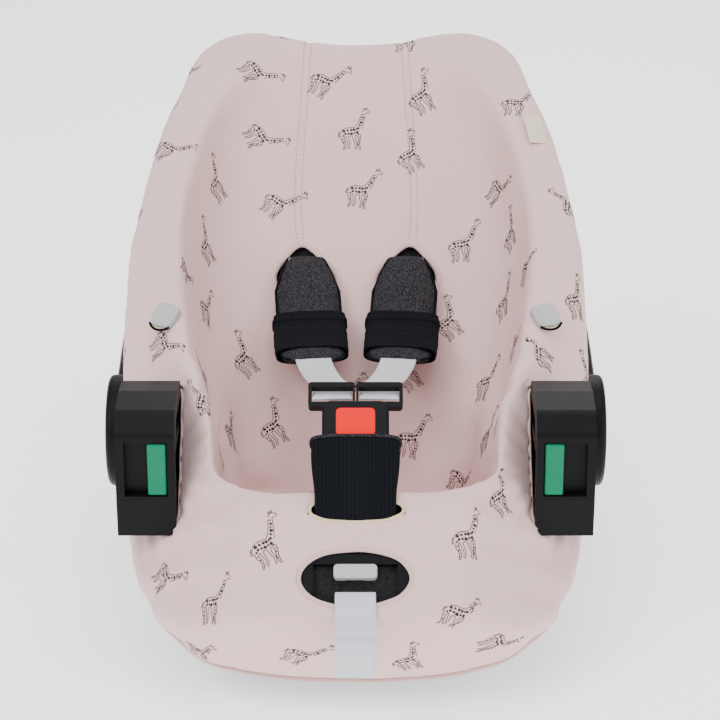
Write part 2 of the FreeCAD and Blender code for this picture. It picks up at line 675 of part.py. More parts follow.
def build_handle():
    bar = handle_bar(0.0).cut(handle_bar(HANDLE_WALL))
    screw_r = HUB_R + 22.0
    screws = []
    for _, sx in SIDES:
        x = sx * HANDLE_HALF
        bar = bar.cut(for_side(hub_axis_rod(HUB_R + 0.4, 180, 240), sx))
        low, high = HANDLE_DEPTH / 2, HANDLE_DEPTH / 2 - 1.2
        bar = bar.cut(rod(4.0, in_handle(x, screw_r, -low - 2), in_handle(x, screw_r, -low + 1.9)))
        bar = bar.cut(rod(2.2, in_handle(x, screw_r, -low), in_handle(x, screw_r, high + 0.2)))
        head = rod(3.7, in_handle(x, screw_r, -low + 0.2), in_handle(x, screw_r, -low + 1.8))
        screws.append(head.fuse(rod(1.9, in_handle(x, screw_r, -low + 1.5), in_handle(x, screw_r, high))))
    keep("handle_upper", bar.common(handle_half(1)))
    keep("handle_lower", bar.common(handle_half(-1)))
    keep("handle_screws", Part.makeCompound(screws))
    sleeve = handle_bar(-2.2).cut(handle_bar(-0.15))
    keep("grip_pad", sleeve.common(box(-GRIP_SPAN / 2, GRIP_SPAN / 2, -900, 900, -900, 900)))


def gear_disc(outer, root, x0, x1, teeth=20):
    """A toothed disc on the handle's axis, on the right."""
    points = []
    for i in range(teeth):
        for share, radius in ((0.0, root), (0.25, outer), (0.5, outer), (0.75, root)):
            a = 2 * math.pi * (i + share) / teeth
            points.append(Vector(x0, PIVOT_Y + radius * math.cos(a), PIVOT_Z + radius * math.sin(a)))
    return Part.Face(Part.makePolygon(points + points[:1])).extrude(Vector(x1 - x0, 0, 0))


def around_axis(radius, count, start=0.0):
    """Places spread evenly around the handle's axis."""
    turn = 2 * math.pi / count
    return [
        (PIVOT_Y + radius * math.cos(start + i * turn), PIVOT_Z + radius * math.sin(start + i * turn))
        for i in range(count)
    ]


def wave_spring(radius, wave, length, turns):
    """A compression spring of stacked waves, along +Z from the origin."""
    leaf = 0.5
    steps = 2 * turns
    outer = [(radius + (wave if i % 2 else -wave) + leaf, length * i / steps) for i in range(steps + 1)]
    inner = [(r - 2 * leaf, z) for r, z in reversed(outer)]
    ring = [Vector(r, 0, z) for r, z in outer + inner]
    face = Part.Face(Part.makePolygon(ring + ring[:1]))
    return face.revolve(Vector(0, 0, 0), Vector(0, 0, 1), 360)


GEAR_R = 26.4
GEAR_X = (186.5, 195.5)
WEB_X = (197.0, 200.5)
AXLE_HEAD_X = (206.0, 209.4)
FLANGE_X = 214.7


def build_hubs():
    out = HUB_OUT
    base = hub_axis_rod(HUB_R - 6, HUB_SEAT + 0.3, HUB_IN - 0.6)
    base = base.cut(gear_disc(GEAR_R + 3.2, GEAR_R + 0.6, GEAR_X[0] - BUTTON_TRAVEL - 1, HUB_IN))
    base = base.cut(hub_axis_rod(AXLE_R + 0.3, HUB_SEAT - 2, HUB_IN))
    base_screws = []
    for y, z in hub_screw_places():
        base = base.cut(rod(2.1, Vector(HUB_SEAT, y, z), Vector(HUB_IN, y, z)))
        base = base.cut(rod(4.3, Vector(HUB_IN - 4.2, y, z), Vector(HUB_IN, y, z)))
        head = rod(4.0, Vector(HUB_IN - 4.0, y, z), Vector(HUB_IN - 1.2, y, z))
        base_screws.append(head.fuse(rod(1.9, Vector(HUB_SEAT - 12, y, z), Vector(HUB_IN - 3.5, y, z))))
    bolt = hub_axis_rod(AXLE_R, HUB_SEAT - 24, AXLE_HEAD_X[1])
    bolt = bolt.fuse(hub_axis_rod(11.0, HUB_SEAT - 25, HUB_SEAT - 18.3))
    bolt = bolt.fuse(hub_axis_rod(9.5, *AXLE_HEAD_X))

    cup = hub_axis_rod(HUB_R, HUB_IN, out)
    rim = [e for e in cup.Edges if abs(e.BoundBox.XMin - out) < 0.01 and e.BoundBox.YLength > HUB_R]
    cup = cup.makeFillet(5.0, rim)
    cup = cup.cut(hub_axis_rod(HUB_R - HUB_WALL, HUB_IN - 1, WEB_X[0]))
    cup = cup.cut(hub_axis_rod(HUB_R - HUB_WALL - 1, WEB_X[1], out - HUB_WALL))
    teeth = hub_axis_rod(GEAR_R + 4.6, HUB_IN + 0.2, WEB_X[0] + 0.5)
    teeth = teeth.cut(gear_disc(GEAR_R + 0.5, GEAR_R - 2.1, HUB_IN - 1, WEB_X[0]))
    boss = hub_axis_rod(BOSS_R, HUB_IN + 1.5, AXLE_HEAD_X[0] - 0.3)
    tongue = turned(
        box(HANDLE_HALF - 3.5, HANDLE_HALF + 3.5, PIVOT_Y + HUB_R - 2.5, PIVOT_Y + HUB_R + 38,
            PIVOT_Z - 8.2, PIVOT_Z + 8.2),
        Vector(1, 0, 0), HANDLE_ANGLE, Vector(0, PIVOT_Y, PIVOT_Z))
    cup = cup.fuse([teeth, boss, tongue])
    cup = cup.cut(hub_axis_rod(AXLE_R + RUN, HUB_IN - 1, AXLE_HEAD_X[0] + 0.5))
    cup = cup.cut(hub_axis_rod(BUTTON_R + 0.4, out - HUB_WALL - 1, out + 1))
    low = HANDLE_DEPTH / 2
    cup = cup.cut(rod(2.2, in_handle(HANDLE_HALF, HUB_R + 22, -low), in_handle(HANDLE_HALF, HUB_R + 22, low)))

    gear = gear_disc(GEAR_R, GEAR_R - 2.6, *GEAR_X).cut(hub_axis_rod(BOSS_R + 0.8, 180, 200))
    pins = []
    for y, z in around_axis(20.0, 3, math.radians(30)):
        cup = cup.cut(rod(2.9, Vector(WEB_X[0] - 1, y, z), Vector(WEB_X[1] + 1, y, z)))
        pins.append(rod(2.5, Vector(GEAR_X[1] - 2, y, z), Vector(FLANGE_X - 0.1, y, z)))
    gear = gear.fuse(pins)
    cap = hub_axis_rod(BUTTON_R, FLANGE_X, out + 2)
    top = [e for e in cap.Edges if abs(e.BoundBox.XMin - out - 2) < 0.01 and e.BoundBox.YLength > BUTTON_R]
    cap = cap.makeFillet(1.8, top)
    cap = cap.fuse(hub_axis_rod(24.5, FLANGE_X, out - HUB_WALL - 0.3))
    cap = cap.cut(hub_axis_rod(12.5, FLANGE_X - 1, out - 1.5))
    spring = wave_spring(14.0, 1.2, 11.0, 4)
    spring = turned(spring, Vector(0, 1, 0), 90, Vector(0, 0, 0))
    spring.translate(Vector(WEB_X[1] + 1.4, PIVOT_Y, PIVOT_Z))
    for side, sx in SIDES:
        keep("pivot_base_" + side, for_side(base, sx))
        keep("pivot_screws_" + side, for_side(Part.makeCompound(base_screws), sx))
        keep("pivot_bolt_" + side, for_side(bolt, sx))
        keep("hub_housing_" + side, for_side(cup, sx))
        keep("lock_gear_" + side, for_side(gear, sx))
        keep("handle_button_" + side, for_side(cap, sx))
        keep("button_spring_" + side, for_side(spring, sx))


# ---- harness ------------------------------------------------------------------------
def buckle_point(x, n, h):
    """A point of the buckle's frame: n towards its face, h towards the shoulders."""
    return BUCKLE_MID + Vector(x, 0, 0) + BUCKLE_FACE * n + BUCKLE_UP * h


BUCKLE_H0 = -BUCKLE_H / 2 - 2
BUCKLE_H1 = BUCKLE_H / 2 - 2
BLADE_N = -5.0           # the tongue's plane, behind the buckle's middle
YOKE_U = 48.0
YOKE_LIFT = -50.0


def strap_path():
    """The right shoulder strap's middle line, from the yoke to the tongue."""
    x = SHOULDER_X
    return [
        on_backrest(x - 8, YOKE_U + 9, YOKE_LIFT + 4.6), on_backrest(x - 3, SHOULDER_U - 16, -43),
        on_backrest(x, SHOULDER_U - 1, -32), on_backrest(x, SHOULDER_U, -10),
        on_backrest(x, SHOULDER_U - 3, 7), on_backrest(x - 1, SHOULDER_U - 22, 15),
        on_backrest(x - 4, SHOULDER_U - 62, 19), Vector(x - 9, -8, 195), Vector(x - 16, -56, 200),
        Vector(x - 23, -120, 219.5), Vector(x - 27.5, -168, 234.4), buckle_point(x - 28, BLADE_N + 5, 27.0),
    ]


def build_shoulder_straps():
    fine = curve_points(strap_path(), 61)
    start = min(range(len(fine)), key=lambda i: (fine[i] - on_backrest(SHOULDER_X, SHOULDER_U - 3, 7)).Length)
    lengths = [0.0]
    for a, b in zip(fine[start:], fine[start + 1:]):
        lengths.append(lengths[-1] + (b - a).Length)
    span = [p for p, run in zip(fine[start:], lengths) if run <= PAD_LEN]
    side = Vector(1, 0, 0)
    last = len(span) - 1
    widths = [46 + (PAD_W - 46) * smooth(i / (0.35 * last)) for i in range(last + 1)]
    thick = [8 + (PAD_T - 8) * smooth(i / (0.2 * last)) for i in range(last + 1)]
    tunnel = band(span, [STRAP + 3] * (last + 1), [STRAP_T + 3] * (last + 1), side)
    pad = band(span, widths, thick, side).cut(tunnel)
    low = range(int(0.52 * last), last)
    cuff = [span[i] for i in low]
    outer = band(cuff, [PAD_W + 5] * len(cuff), [PAD_T + 5] * len(cuff), side)
    inner = band(span, [w + 0.8 for w in widths], [t + 0.8 for t in thick], side)
    sleeve = outer.cut(inner)
    strap = ribbon(fine[1:], STRAP, STRAP_T, side)
    for name, sx in SIDES:
        keep("shoulder_strap_" + name, for_side(strap, sx))
        keep("shoulder_pad_" + name, for_side(pad, sx))
        keep("pad_band_" + name, for_side(sleeve, sx))


def build_yoke():
    mid = on_backrest(0, YOKE_U, YOKE_LIFT)
    out = (on_backrest(0, YOKE_U, 10) - on_backrest(0, YOKE_U, 0)).normalize()
    up = out.cross(Vector(1, 0, 0))
    yoke = plate(122.0, 40.0, 2.5, 8.0, mid - out * 1.25, up, out)
    half = STRAP / 2 + 2.5
    for x in (-(SHOULDER_X - 8), 0.0, SHOULDER_X - 8):
        z, tall = (9.5, 7.5) if x else (-10.5, 4.5)
        hole = box(x - half, x + half, -8, 8, z - tall, z + tall)
        yoke = yoke.cut(oriented(hole, mid, up, out))
    keep("harness_yoke", yoke)


def build_buckle():
    w, t = BUCKLE_W / 2, BUCKLE_T / 2
    housing = in_buckle(-w, w, -t, t, BUCKLE_H0, BUCKLE_H1, 7.0)
    lip = [e for e in housing.Edges if e.Length > 1]
    front = [e for e in lip if (e.CenterOfMass - BUCKLE_MID).dot(BUCKLE_FACE) > t - 0.1]
    housing = housing.makeFillet(2.5, front)
    housing = housing.cut(in_buckle(-16, 16, BLADE_N - 1.8, BLADE_N + 1.8, -5, BUCKLE_H1 + 1))
    housing = housing.cut(in_buckle(-RED_W / 2 - 0.3, RED_W / 2 + 0.3, -2.2, t + 1,
                                    -RED_H / 2 - 0.3, RED_H / 2 + 0.3, 4.3))
    housing = housing.cut(in_buckle(-STRAP / 2 - 1, STRAP / 2 + 1, -1.6, 1.6, BUCKLE_H0 - 1, -14.5))
    red = in_buckle(-RED_W / 2, RED_W / 2, 5.0, t + 1.6, -RED_H / 2, RED_H / 2, 4.0)
    rim = [e for e in red.Edges if (e.CenterOfMass - BUCKLE_MID).dot(BUCKLE_FACE) > t + 1.5]
    red = red.makeFillet(1.2, rim)
    zigzag = [(-1.8, -7.0), (-1.2, -4.0), (4.2, -1.5), (4.2, 1.5), (-1.2, 4.0), (-1.8, 7.0)]
    spring = ribbon([buckle_point(0, n, h) for n, h in zigzag], 8.0, 0.5, Vector(1, 0, 0))
    keep("buckle_housing", housing)
    keep("buckle_button", red)
    keep("buckle_spring", spring)
    mid = SHOULDER_X - 28
    grip = in_buckle(0.5, 2 * mid + 0.5, BLADE_N - 4, BLADE_N + 4, BUCKLE_H1 + 0.4, BUCKLE_H1 + 23, 3.0)
    hole = in_buckle(mid - STRAP / 2 - 0.6, mid + STRAP / 2 + 0.6, BLADE_N - 6, BLADE_N + 6,
                     BUCKLE_H1 + 5, BUCKLE_H1 + 18.5)
    blade = in_buckle(3, 14, BLADE_N - 1.2, BLADE_N + 1.2, -3, BUCKLE_H1 + 3)
    tongue = grip.cut(hole).fuse(blade)
    for name, sx in SIDES:
        keep("buckle_tongue_" + name, for_side(tongue, -sx))


def crotch_path(top, end_z):
    """The crotch strap's middle line from the buckle down into the front ridge."""
    return [
        buckle_point(0, 0, top), buckle_point(0, 0, top - 10), buckle_point(0, 0, top - 22),
        buckle_point(0, 0, -46), buckle_point(0, -0.5, -54), Vector(0, CROTCH_SLIT_Y, 180),
        Vector(0, CROTCH_SLIT_Y, 170), Vector(0, CROTCH_SLIT_Y, end_z),
    ]


def build_crotch():
    pad_points = curve_points(crotch_path(CROTCH_TOP, CROTCH_END_Z), 22)
    n = len(pad_points)
    thick = [BUCKLE_T + 7 - 9 * smooth((i / n - 0.25) / 0.3) for i in range(n)]
    inner_thick = [BUCKLE_T + 0.9 - 14 * smooth((i / n - 0.3) / 0.3) for i in range(n)]
    side = Vector(1, 0, 0)
    sleeve = band(pad_points, [CROTCH_W] * n, thick, side)
    sleeve = sleeve.cut(band(pad_points, [CROTCH_W - 4] * n, inner_thick, side))
    keep("crotch_pad", sleeve)
    strap_points = curve_points(crotch_path(-15.5, 115.0) + [Vector(0, ANCHOR_Y, 57.0)], 40)
    keep("crotch_strap", ribbon(strap_points, STRAP, STRAP_T, side))
    floor = BASE + GAP + SHELL
    y = ANCHOR_Y
    bracket = rod(3.0, Vector(-30, y, 52), Vector(30, y, 52))
    for _, sx in SIDES:
        leg = for_side(box(26, 30, y - 5, y + 5, floor + 0.3, 56), sx)
        foot = for_side(box(26, 44, y - 5, y + 5, floor + 0.3, floor + 2.8), sx)
        bracket = bracket.fuse([leg, foot])
    keep("crotch_anchor", bracket)


# ---- strap adjuster in the apron ----------------------------------------------------
def adjuster_point(n, h, x=0.0):
    centre, up, normal = adjuster_frame()
    return centre + Vector(x, 0, 0) + normal * n + up * h


CAM_N = -14.0
CAM_H = -4.0
CAM_R = 4.5


def build_adjuster():
    w, h, d = ADJUSTER_W / 2, ADJUSTER_H / 2, ADJUSTER_D
    housing = in_adjuster(-w + 0.6, w - 0.6, -2.6, -0.4, -h + 0.6, h - 0.6, 6.0)
    housing = housing.fuse(in_adjuster(-w + 5.4, w - 5.4, -d, -0.6, -h + 5.4, h - 5.4, 2.0))
    housing = housing.cut(in_adjuster(-w + 9, w - 9, -d + 3.5, 1, -h + 9, h - 9))
    half = STRAP / 2 + 1.5
    housing = housing.cut(in_adjuster(-half, half, -d - 1, -d + 5, CAM_H - 9, CAM_H - 3.5))
    bore = rod(2.05, adjuster_point(CAM_N, CAM_H, -w + 5.8), adjuster_point(CAM_N, CAM_H, w - 5.8))
    housing = housing.cut(bore)
    pin = rod(2.0, adjuster_point(CAM_N, CAM_H, -w + 6), adjuster_point(CAM_N, CAM_H, w - 6))
    cam = rod(CAM_R, adjuster_point(CAM_N, CAM_H, -STRAP / 2), adjuster_point(CAM_N, CAM_H, STRAP / 2))
    lever = in_adjuster(-6, 6, CAM_N + 2.5, CAM_N + 5.4, CAM_H + 1.5, CAM_H + 12.5)
    cam = cam.fuse(lever)
    cam = cam.cut(rod(2.05, adjuster_point(CAM_N, CAM_H, -STRAP), adjuster_point(CAM_N, CAM_H, STRAP)))
    key = in_adjuster(-KEY_W / 2, KEY_W / 2, -8.0, 1.2, 1.2, h - 9.4, 3.0)
    key = key.cut(in_adjuster(-7.5, 7.5, -9.0, -4.6, 0.0, 7.8))
    springs = []
    for x in (-11.5, 11.5):
        spring = turned(wave_spring(2.8, 0.6, 10.0, 6), Vector(1, 0, 0), -90, Vector(0, 0, 0))
        centre, up, normal = adjuster_frame()
        springs.append(oriented(spring, adjuster_point(-d + 4.6, 6.6, x), up, normal))
    keep("adjuster_housing", housing)
    keep("adjuster_pin", pin)
    keep("adjuster_cam", cam)
    keep("adjuster_key", key)
    keep("adjuster_springs", Part.makeCompound(springs))
    strap_h = CAM_H - CAM_R - 0.5 - STRAP_T / 2
    end = adjuster_point(4.5, -50)
    points = [
        on_backrest(0, YOKE_U - 10, YOKE_LIFT + 2.6), on_backrest(0, YOKE_U - 40, YOKE_LIFT + 2),
        on_backrest(0, -30, -52), on_backrest(0, -90, -52), Vector(0, -50, 33), Vector(0, -110, 27),
        Vector(0, -210, 27), Vector(0, -262, 36), adjuster_point(-68, strap_h - 16),
        adjuster_point(-44, strap_h - 4), adjuster_point(-26, strap_h), adjuster_point(-14, strap_h),
        adjuster_point(-6, strap_h), adjuster_point(0.6, strap_h - 1.0), adjuster_point(3.0, strap_h - 5),
        adjuster_point(3.8, -26), adjuster_point(4.0, -42), end, Vector(0, end.y - 4, end.z - 8), Vector(0, end.y - 5, end.z - 18),
        Vector(0, end.y - 5, end.z - 30),
    ]
    strap = ribbon(curve_points(points, 90), STRAP, STRAP_T, Vector(1, 0, 0))
    keep("adjuster_strap", strap)


def write_parts():
    os.makedirs("parts", exist_ok=True)
    for old in os.listdir("parts"):
        if old.endswith(".step"):
            os.remove(os.path.join("parts", old))
    for name, shape in made.items():
        shape.exportStep(os.path.join("parts", name + ".step"))


build_base()
build_guides()
build_pegs_and_label()
build_handle()
build_hubs()
build_shoulder_straps()
build_yoke()
build_buckle()
build_crotch()
build_adjuster()
write_parts()
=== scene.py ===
import logging
import math
from dataclasses import dataclass, field
from enum import Enum

import bmesh
import bpy
import numpy as np
from mathutils import Matrix, Vector, noise
from mathutils.bvhtree import BVHTree


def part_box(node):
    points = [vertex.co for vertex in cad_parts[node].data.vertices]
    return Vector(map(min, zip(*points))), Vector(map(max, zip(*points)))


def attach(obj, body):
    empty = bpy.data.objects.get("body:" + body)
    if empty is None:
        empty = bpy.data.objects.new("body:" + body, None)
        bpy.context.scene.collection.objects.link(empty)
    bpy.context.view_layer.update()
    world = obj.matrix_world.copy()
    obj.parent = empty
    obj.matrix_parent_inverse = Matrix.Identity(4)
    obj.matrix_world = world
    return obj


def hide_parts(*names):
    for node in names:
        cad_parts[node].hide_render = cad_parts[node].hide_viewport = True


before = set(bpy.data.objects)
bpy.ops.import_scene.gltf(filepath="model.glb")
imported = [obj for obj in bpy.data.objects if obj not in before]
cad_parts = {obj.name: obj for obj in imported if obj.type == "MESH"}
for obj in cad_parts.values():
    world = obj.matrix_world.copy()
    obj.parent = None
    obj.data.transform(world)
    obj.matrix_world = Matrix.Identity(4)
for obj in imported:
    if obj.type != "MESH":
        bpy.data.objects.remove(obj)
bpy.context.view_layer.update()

LOG = logging.getLogger("infant_seat")
MM = 0.001
SEAT, HANDLE = "seat", "handle"
SIDES = (("left", -1), ("right", 1))

# ---- the seat's own frame, in millimetres -------------------------------------------
TILT = math.radians(22.0)
COS, SIN, TAN = math.cos(TILT), math.sin(TILT), math.tan(TILT)
RIM_Z = 294.0
PIVOT = (-12.0, 128.0)


def seat_points(x: np.ndarray, u: np.ndarray, d: np.ndarray) -> np.ndarray:
    """Points given in the rim plane.

    Args:
        x: across the seat.
        u: along the rim plane, towards the head.
        d: depth under the rim plane.

    Returns:
        Points in millimetres, one per row.
    """
    x, u, d = np.broadcast_arrays(x, u, d)
    return np.stack([x, u * COS + d * SIN, RIM_Z + u * SIN - d * COS], axis=-1)


def smooth(t: float) -> float:
    """0 to 1, level at both ends."""
    t = min(max(t, 0.0), 1.0)
    return t * t * (3 - 2 * t)


def natural_spline(xs: np.ndarray, ys: np.ndarray, at: np.ndarray) -> np.ndarray:
    """A cubic spline through rows of values.

    Args:
        xs: increasing places of the rows.
        ys: one row of values per place.
        at: places to read.

    Returns:
        One row of values per place in at.
    """
    n = len(xs)
    h = np.diff(xs)
    a = np.zeros((n, n))
    b = np.zeros((n,) + ys.shape[1:])
    a[0, 0] = a[-1, -1] = 1.0
    for i in range(1, n - 1):
        a[i, i - 1:i + 2] = h[i - 1], 2 * (h[i - 1] + h[i]), h[i]
        b[i] = 6 * ((ys[i + 1] - ys[i]) / h[i] - (ys[i] - ys[i - 1]) / h[i - 1])
    m = np.linalg.solve(a, b.reshape(n, -1)).reshape(b.shape)
    k = np.clip(np.searchsorted(xs, at) - 1, 0, n - 2)
    hk = h[k].reshape((-1,) + (1,) * (ys.ndim - 1))
    t1 = (xs[k + 1] - at).reshape(hk.shape)
    t0 = (at - xs[k]).reshape(hk.shape)
    return (
        m[k] * t1 ** 3 / (6 * hk) + m[k + 1] * t0 ** 3 / (6 * hk)
        + (ys[k] / hk - m[k] * hk / 6) * t1 + (ys[k + 1] / hk - m[k + 1] * hk / 6) * t0
    )


def smooth_line(points: list, count: int) -> np.ndarray:
    """Evenly spread points on a smooth open line through the given ones."""
    p = np.array(points, float)
    run = np.concatenate([[0.0], np.cumsum(np.linalg.norm(np.diff(p, axis=0), axis=1))])
    fine = natural_spline(run, p, np.linspace(0, run[-1], count * 6))
    length = np.concatenate([[0.0], np.cumsum(np.linalg.norm(np.diff(fine, axis=0), axis=1))])
    even = np.linspace(0, length[-1], count)
    return np.stack([np.interp(even, length, fine[:, k]) for k in range(3)], axis=1)


def closed_outline(half: list, count: int = 900) -> np.ndarray:
    """A smooth closed outline from its right half, head middle first, foot middle last."""
    ring = np.array(half + [(-x, u) for x, u in reversed(half[1:-1])])
    turn = len(ring)
    wrapped = np.concatenate([ring[-4:], ring, ring[:5]])
    run = np.concatenate([[0.0], np.cumsum(np.linalg.norm(np.diff(wrapped, axis=0), axis=1))])
    at = np.linspace(run[4], run[4 + turn], count, endpoint=False)
    return natural_spline(run, wrapped, at)


# ---- meshes -------------------------------------------------------------------------
def new_mesh(name: str, verts: np.ndarray, faces: list, smooth_shading: bool = True) -> bpy.types.Object:
    """A mesh object from points in millimetres.

    Args:
        name: the piece's name.
        verts: points, one per row.
        faces: lists of point numbers.
        smooth_shading: whether its faces are shaded smoothly.

    Returns:
        The new object, linked to the scene.
    """
    mesh = bpy.data.meshes.new(name)
    mesh.from_pydata((np.asarray(verts) * MM).tolist(), [], faces)
    mesh.validate()
    if smooth_shading:
        mesh.polygons.foreach_set("use_smooth", [True] * len(mesh.polygons))
    mesh.update()
    obj = bpy.data.objects.new(name, mesh)
    bpy.context.collection.objects.link(obj)
    return obj


def grid_faces(rows: int, cols: int, wrap_rows: bool = False, wrap_cols: bool = False) -> list:
    """Quads of a grid of points stored row by row."""
    faces = []
    for i in range(rows if wrap_rows else rows - 1):
        for j in range(cols if wrap_cols else cols - 1):
            i1, j1 = (i + 1) % rows, (j + 1) % cols
            faces.append((i * cols + j, i * cols + j1, i1 * cols + j1, i1 * cols + j))
    return faces


def swept(line: np.ndarray, section: np.ndarray, sideways: np.ndarray, closed: bool = False,
          scale: np.ndarray | None = None) -> tuple[np.ndarray, list]:
    """A section moved along a line.

    Args:
        line: points of the line.
        section: the section's outline as (across, up) pairs.
        sideways: the direction that across keeps to, or one direction per point.
        closed: whether the line closes on itself.
        scale: the section's (across, up) scale at each point.

    Returns:
        Points and quads of the tube, its ends capped when the line is open.
    """
    n, m = len(line), len(section)
    ahead = np.roll(line, -1, axis=0) if closed else np.vstack([line[1:], line[-1:]])
    behind = np.roll(line, 1, axis=0) if closed else np.vstack([line[:1], line[:-1]])
    along = ahead - behind
    along /= np.linalg.norm(along, axis=1, keepdims=True)
    side = np.broadcast_to(np.asarray(sideways, float), line.shape)
    across = side - along * np.sum(side * along, axis=1, keepdims=True)
    across /= np.linalg.norm(across, axis=1, keepdims=True)
    up = np.cross(along, across)
    s = np.ones((n, 2)) if scale is None else scale
    ring = (
        line[:, None, :]
        + across[:, None, :] * (section[None, :, 0] * s[:, None, 0])[..., None]
        + up[:, None, :] * (section[None, :, 1] * s[:, None, 1])[..., None]
    )
    faces = grid_faces(n, m, closed, True)
    if not closed:
        faces.append(tuple(range(m)))
        faces.append(tuple(reversed(range((n - 1) * m, n * m))))
    return ring.reshape(-1, 3), faces


def flat_section(width: float, thickness: float, edge: int = 4) -> np.ndarray:
    """A strap's section: flat faces and round edges."""
    r = thickness / 2
    w = width / 2 - r
    right = [(w + r * math.cos(a), r * math.sin(a)) for a in np.linspace(-math.pi / 2, math.pi / 2, edge + 1)]
    left = [(-x, -y) for x, y in right]
    flats = [(w * k / 3, r) for k in (2, 1, 0, -1, -2)]
    lower = [(-w * k / 3, -r) for k in (2, 1, 0, -1, -2)]
    return np.array(right + flats + left + lower)


def puffy_section(width: float, thickness: float, power: float = 2.6, count: int = 28) -> np.ndarray:
    """A padded strip's section."""
    points = []
    for k in range(count):
        a = 2 * math.pi * k / count
        c, s = math.cos(a), math.sin(a)
        points.append((
            width / 2 * math.copysign(abs(c) ** (2 / power), c),
            thickness / 2 * math.copysign(abs(s) ** (2 / power), s)))
    return np.array(points)


def recalculated(obj: bpy.types.Object) -> bpy.types.Object:
    """The same mesh with its faces pointing outwards."""

    bm = bmesh.new()
    bm.from_mesh(obj.data)
    bmesh.ops.remove_doubles(bm, verts=bm.verts, dist=1e-6)
    bmesh.ops.recalc_face_normals(bm, faces=bm.faces)
    bm.to_mesh(obj.data)
    bm.free()
    obj.data.update()
    return obj


def placed(obj: bpy.types.Object, finish: "Finish", body: str,
           stands_for: tuple = ()) -> bpy.types.Object:
    """Gives a finished piece its material, its body and the CAD nodes that it stands for."""
    obj.data.materials.clear()
    obj.data.materials.append(finish.material())
    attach(obj, body)
    if stands_for:
        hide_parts(*stands_for)
    LOG.info("%s on %s, %d faces", obj.name, body, len(obj.data.polygons))
    return obj


# ---- finishes -----------------------------------------------------------------------
class Weave(Enum):
    """How a finish's fine surface is made."""

    JERSEY = "jersey"
    KNIT = "knit"
    WEBBING = "webbing"
    MELANGE = "melange"
    MOULDED = "moulded"
    BRUSHED = "brushed"
    BEADS = "beads"


